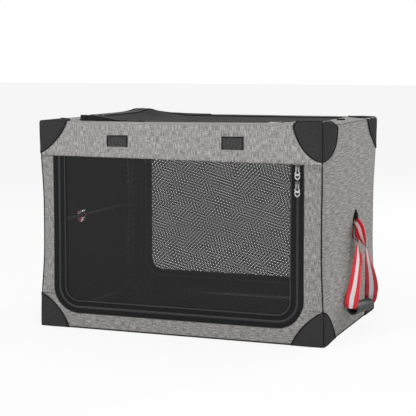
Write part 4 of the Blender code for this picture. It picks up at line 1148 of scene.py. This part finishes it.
frame_coat, shader = new_finish("frame_coat", (0.018, 0.018, 0.019), 0.42)
feed(shader.inputs["Coat Weight"], 0.25)
spotted(shader, "Roughness", 520, 0.34, 0.5)
bumped(shader, grain(shader, 520), 0.00015)
legs = ["%s_%s_%s_leg" % (end, side, level) for end in ("left", "right") for side in ("front", "back")
        for level in ("lower", "upper")]
finish_nodes(["bottom_frame", "top_frame", "left_knee_bar", "right_knee_bar"] + legs, frame_coat)

# Pull ribbons and grips
# A striped ribbon is tied round each knee bar, comes out through the slit and loops through a foam grip.
# A pull on the grip brings the knees in and folds the crate.

KNEE = Vector((0.3130, 0.0, 0.22955))
RIBBON_THICK = 0.0011
EDGE_ROLL = 0.35
ACROSS = 8
GRIP_CENTRE = Vector((0.3530, -0.0060, 0.0500))
GRIP_TURN = radians(13)
GRIP_LONG, GRIP_SHORT, GRIP_RADIUS, GRIP_BORE = 0.096, 0.016, 0.0135, 0.0100


def smooth_line(stations, count):
    """A smooth run of stations through the given ones."""
    found, last = [], len(stations) - 1
    for n in range(count * last + 1):
        i = min(n // count, last - 1)
        t = n / count - i
        nearby = [stations[max(0, min(last, i + k))] for k in (-1, 0, 1, 2)]
        found.append([0.5 * ((2 * b) + (c - a) * t + (2 * a - 5 * b + 4 * c - d) * t * t
                             + (3 * b - a - 3 * c + d) * t * t * t) for a, b, c, d in zip(*nearby)])
    return found


def ribbon(name, stations, finish, turn, count=6):
    """A flat ribbon through (middle, half width) stations, its edges a little rolled. The faces of one side
    take the last finish, which paints shade on them.
    """
    line = smooth_line(stations, count)
    points, flat, travelled = [], [], 0.0
    for n, (middle, half) in enumerate(line):
        before, after = line[max(0, n - 1)][0], line[min(len(line) - 1, n + 1)][0]
        face = (after - before).cross(half).normalized() * RIBBON_THICK / 2
        travelled += (middle - line[max(0, n - 1)][0]).length
        for sign in (-1, 1):
            for k in range(ACROSS + 1):
                part = (2 * k / ACROSS - 1) * (1 if sign < 0 else -1)
                roll = 1 - EDGE_ROLL * abs(part) ** 6
                points.append(turn @ (middle + half * part + face * sign * roll))
                flat.append((part, travelled))
    width = 2 * (ACROSS + 1)
    made = new_piece(name, points, capped(len(line), width), finish, flat)
    outward(made)
    for face in made.data.polygons:
        if face.index % width < ACROSS and face.index < (len(line) - 1) * width:
            face.material_index = len(finish) - 1
    return made


def striped(name, red, white):
    """Ribbed red ribbon with a white stripe along its middle."""
    finish, shader = new_finish(name, roughness=0.5)
    tree = shader.id_data
    flat = new_node(tree, "UVMap").outputs["UV"]
    split = new_node(tree, "SeparateXYZ", {0: flat}).outputs["X"]
    across = new_node(tree, "Math", {0: split}, operation="ABSOLUTE").outputs[0]
    fuzz = {0: streaks(flat, 0.0012, 0.4, 2.0), 1: 0.05, 2: across}
    edge = new_node(tree, "Math", fuzz, operation="MULTIPLY_ADD").outputs[0]
    feed(shader.inputs["Base Color"], ramped(edge, ((0.0, white), (0.345, white), (0.365, red), (1.0, red))))
    bumped(shader, wave_lines(flat, "Y", 0.0009), 0.0002)
    return finish


def metres(numbers):
    """A place or way given in millimetres."""
    return Vector([number / 1000 for number in numbers])


ribbon_cloth = striped("ribbon_cloth", (0.84, 0.012, 0.030), (0.97, 0.94, 0.95))
# Painted shade: a darker, greyer copy of the ribbon cloth, for the ribbon's inner face and the tie inside the crate.
ribbon_in_painted_shade = striped("ribbon_in_painted_shade", (0.40, 0.003, 0.016), (0.55, 0.53, 0.54))

axis = Vector((sin(GRIP_TURN), cos(GRIP_TURN), 0))
across_grip = Vector((cos(GRIP_TURN), -sin(GRIP_TURN), 0))
near = GRIP_CENTRE - axis * (GRIP_LONG / 2 + 0.006)
far = GRIP_CENTRE + axis * (GRIP_LONG / 2 - GRIP_SHORT + 0.006)
Y, Z = Vector((0, 1, 0)), Vector((0, 0, 1))
lift = Vector((0, 0, 0.0037))
inside = 0.0085
# The middles and half widths of the ribbon's two strands, in millimetres.
NEAR_STRAND = (((320.5, 38.5, 229), (0, 3, 3)), ((325.5, 26.2, 225.1), (-4.5, 8.5, -1)),
               ((331.5, 0, 214.7), (-5.5, 7.5, -2.6)), ((334.5, -7, 204.2), (-7.5, 8, -2.8)),
               ((337, 7.2, 193.3), (-5.2, 11.8, -2.2)), ((338, 9.9, 181.8), (-0.5, 14.2, -2)),
               ((339.5, 3.6, 170.2), (2, 14.5, -2)), ((340.5, -0.2, 150.2), (6.3, 13.6, -1.7)),
               ((341, -10.6, 130.9), (7.7, 12.8, -1.6)), ((341.5, -22.4, 112.3), (9.3, 11.6, -1.4)),
               ((342, -36.3, 93.9), (11.9, 8.8, -0.8)), ((342.1, -54, 76), (14.5, 5, 0)),
               ((341.8, -60, 61), (14, 2, 0)))
FAR_STRAND = (((363, 31, 60), (13, 3, 0)), ((364.3, 30, 72), (13.6, 4.5, 0)),
              ((364, 34.5, 85), (14, 5.3, 0)), ((362.5, 35.1, 104.3), (11.2, 9.8, -1)),
              ((359.5, 35.3, 125), (7.8, 12.6, -1.6)), ((356, 31.9, 146.3), (3.7, 14, -1.9)),
              ((352, 33.5, 166.7), (-0.1, 14.2, -2.1)), ((349, 29.1, 179.8), (-5, 13, -2.7)),
              ((346, 25.8, 190.9), (-8.4, 10.3, -4.2)), ((342, 21.3, 205.3), (-10.6, 6.8, -5.5)),
              ((338, 20.6, 218.5), (-10.7, 5.7, -6.7)), ((333, 20.5, 228), (-9.2, 7.4, -8.8)),
              ((327.8, 23, 232.5), (-8, 9, -8.6)), ((320.5, 40, 231), (-2, 7, -6)))
edge_way = across_grip * 0.0085
stations = [(metres(middle), metres(half)) for middle, half in NEAR_STRAND]
stations += [(near + metres((0, -1, 3)), across_grip * 0.0120), (near + axis * 0.0050 + lift, edge_way),
             (near + axis * 0.0150 + lift, edge_way), (far - axis * 0.0150 + lift, edge_way),
             (far - axis * 0.0050 + lift, edge_way), (far + metres((0.2, -1, 3)), across_grip * 0.0120)]
stations += [(metres(middle), metres(half)) for middle, half in FAR_STRAND]
TIE_RADIUS, TIE_OFF = 0.0052, 0.042
tie_stations = [(Vector((x, 0.0385, KNEE.z)), Z * half) for x, half in ((0.3215, 0.0030), (0.3200, 0.0040))]
for angle, wide in ((40, 0.0065), (75, 0.0095), (110, 0.0098), (145, 0.0098), (180, 0.0098), (215, 0.0098),
                    (250, 0.0098), (285, 0.0095), (320, 0.0065)):
    round_bar = Vector((TIE_RADIUS * cos(radians(angle)), 0, TIE_RADIUS * sin(radians(angle))))
    tie_stations.append((KNEE + Y * TIE_OFF + round_bar, Y * wide))
tie_stations += [(Vector((x, 0.0455, KNEE.z)), Z * half) for x, half in ((0.3200, -0.0040), (0.3215, -0.0030))]

foam, shader = new_finish("foam", (0.020, 0.020, 0.021), 0.62)
bumped(shader, grain(shader, 900, "TexVoronoi"), 0.0003)
long = GRIP_LONG - GRIP_SHORT
lip = [(GRIP_BORE, 0.0015), (GRIP_BORE + 0.0012, 0.0003), (GRIP_RADIUS - 0.0016, 0), (GRIP_RADIUS - 0.0004, 0.0008),
       (GRIP_RADIUS, 0.0025)]
profile = lip + [(GRIP_RADIUS, long * n / 6) for n in range(1, 6)] + [(r, long - a) for r, a in lip[::-1]]
foot = GRIP_CENTRE - axis * GRIP_LONG / 2
ROUND_STEPS = 32
grip_faces = row_faces(len(profile), ROUND_STEPS, True)
last = (len(profile) - 1) * ROUND_STEPS
grip_faces += [(last + n, last + (n + 1) % ROUND_STEPS, (n + 1) % ROUND_STEPS, n) for n in range(ROUND_STEPS)]
for end, turn in (("right", Matrix.Identity(4)), ("left", Matrix.Rotation(pi, 4, "Z"))):
    strap = ribbon(end + "_ribbon", stations, [ribbon_cloth, ribbon_in_painted_shade], turn)
    sew(strap, end + "_pull", node=end + "_pull_ribbon")
    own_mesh(strap)
    tie = ribbon(end + "_tie", tie_stations, [ribbon_in_painted_shade], turn, count=3)
    sew(tie, end + "_lower_legs", node=end + "_ribbon_tie")
    points = [turn @ (foot + axis * a + across_grip * (r * cos(pi * n / 16)) + Z * (r * sin(pi * n / 16)))
              for r, a in profile for n in range(ROUND_STEPS)]
    grip = new_piece(end + "_grip", points, grip_faces, [foam])
    outward(grip)
    sew(grip, end + "_pull", node=end + "_pull_handle")
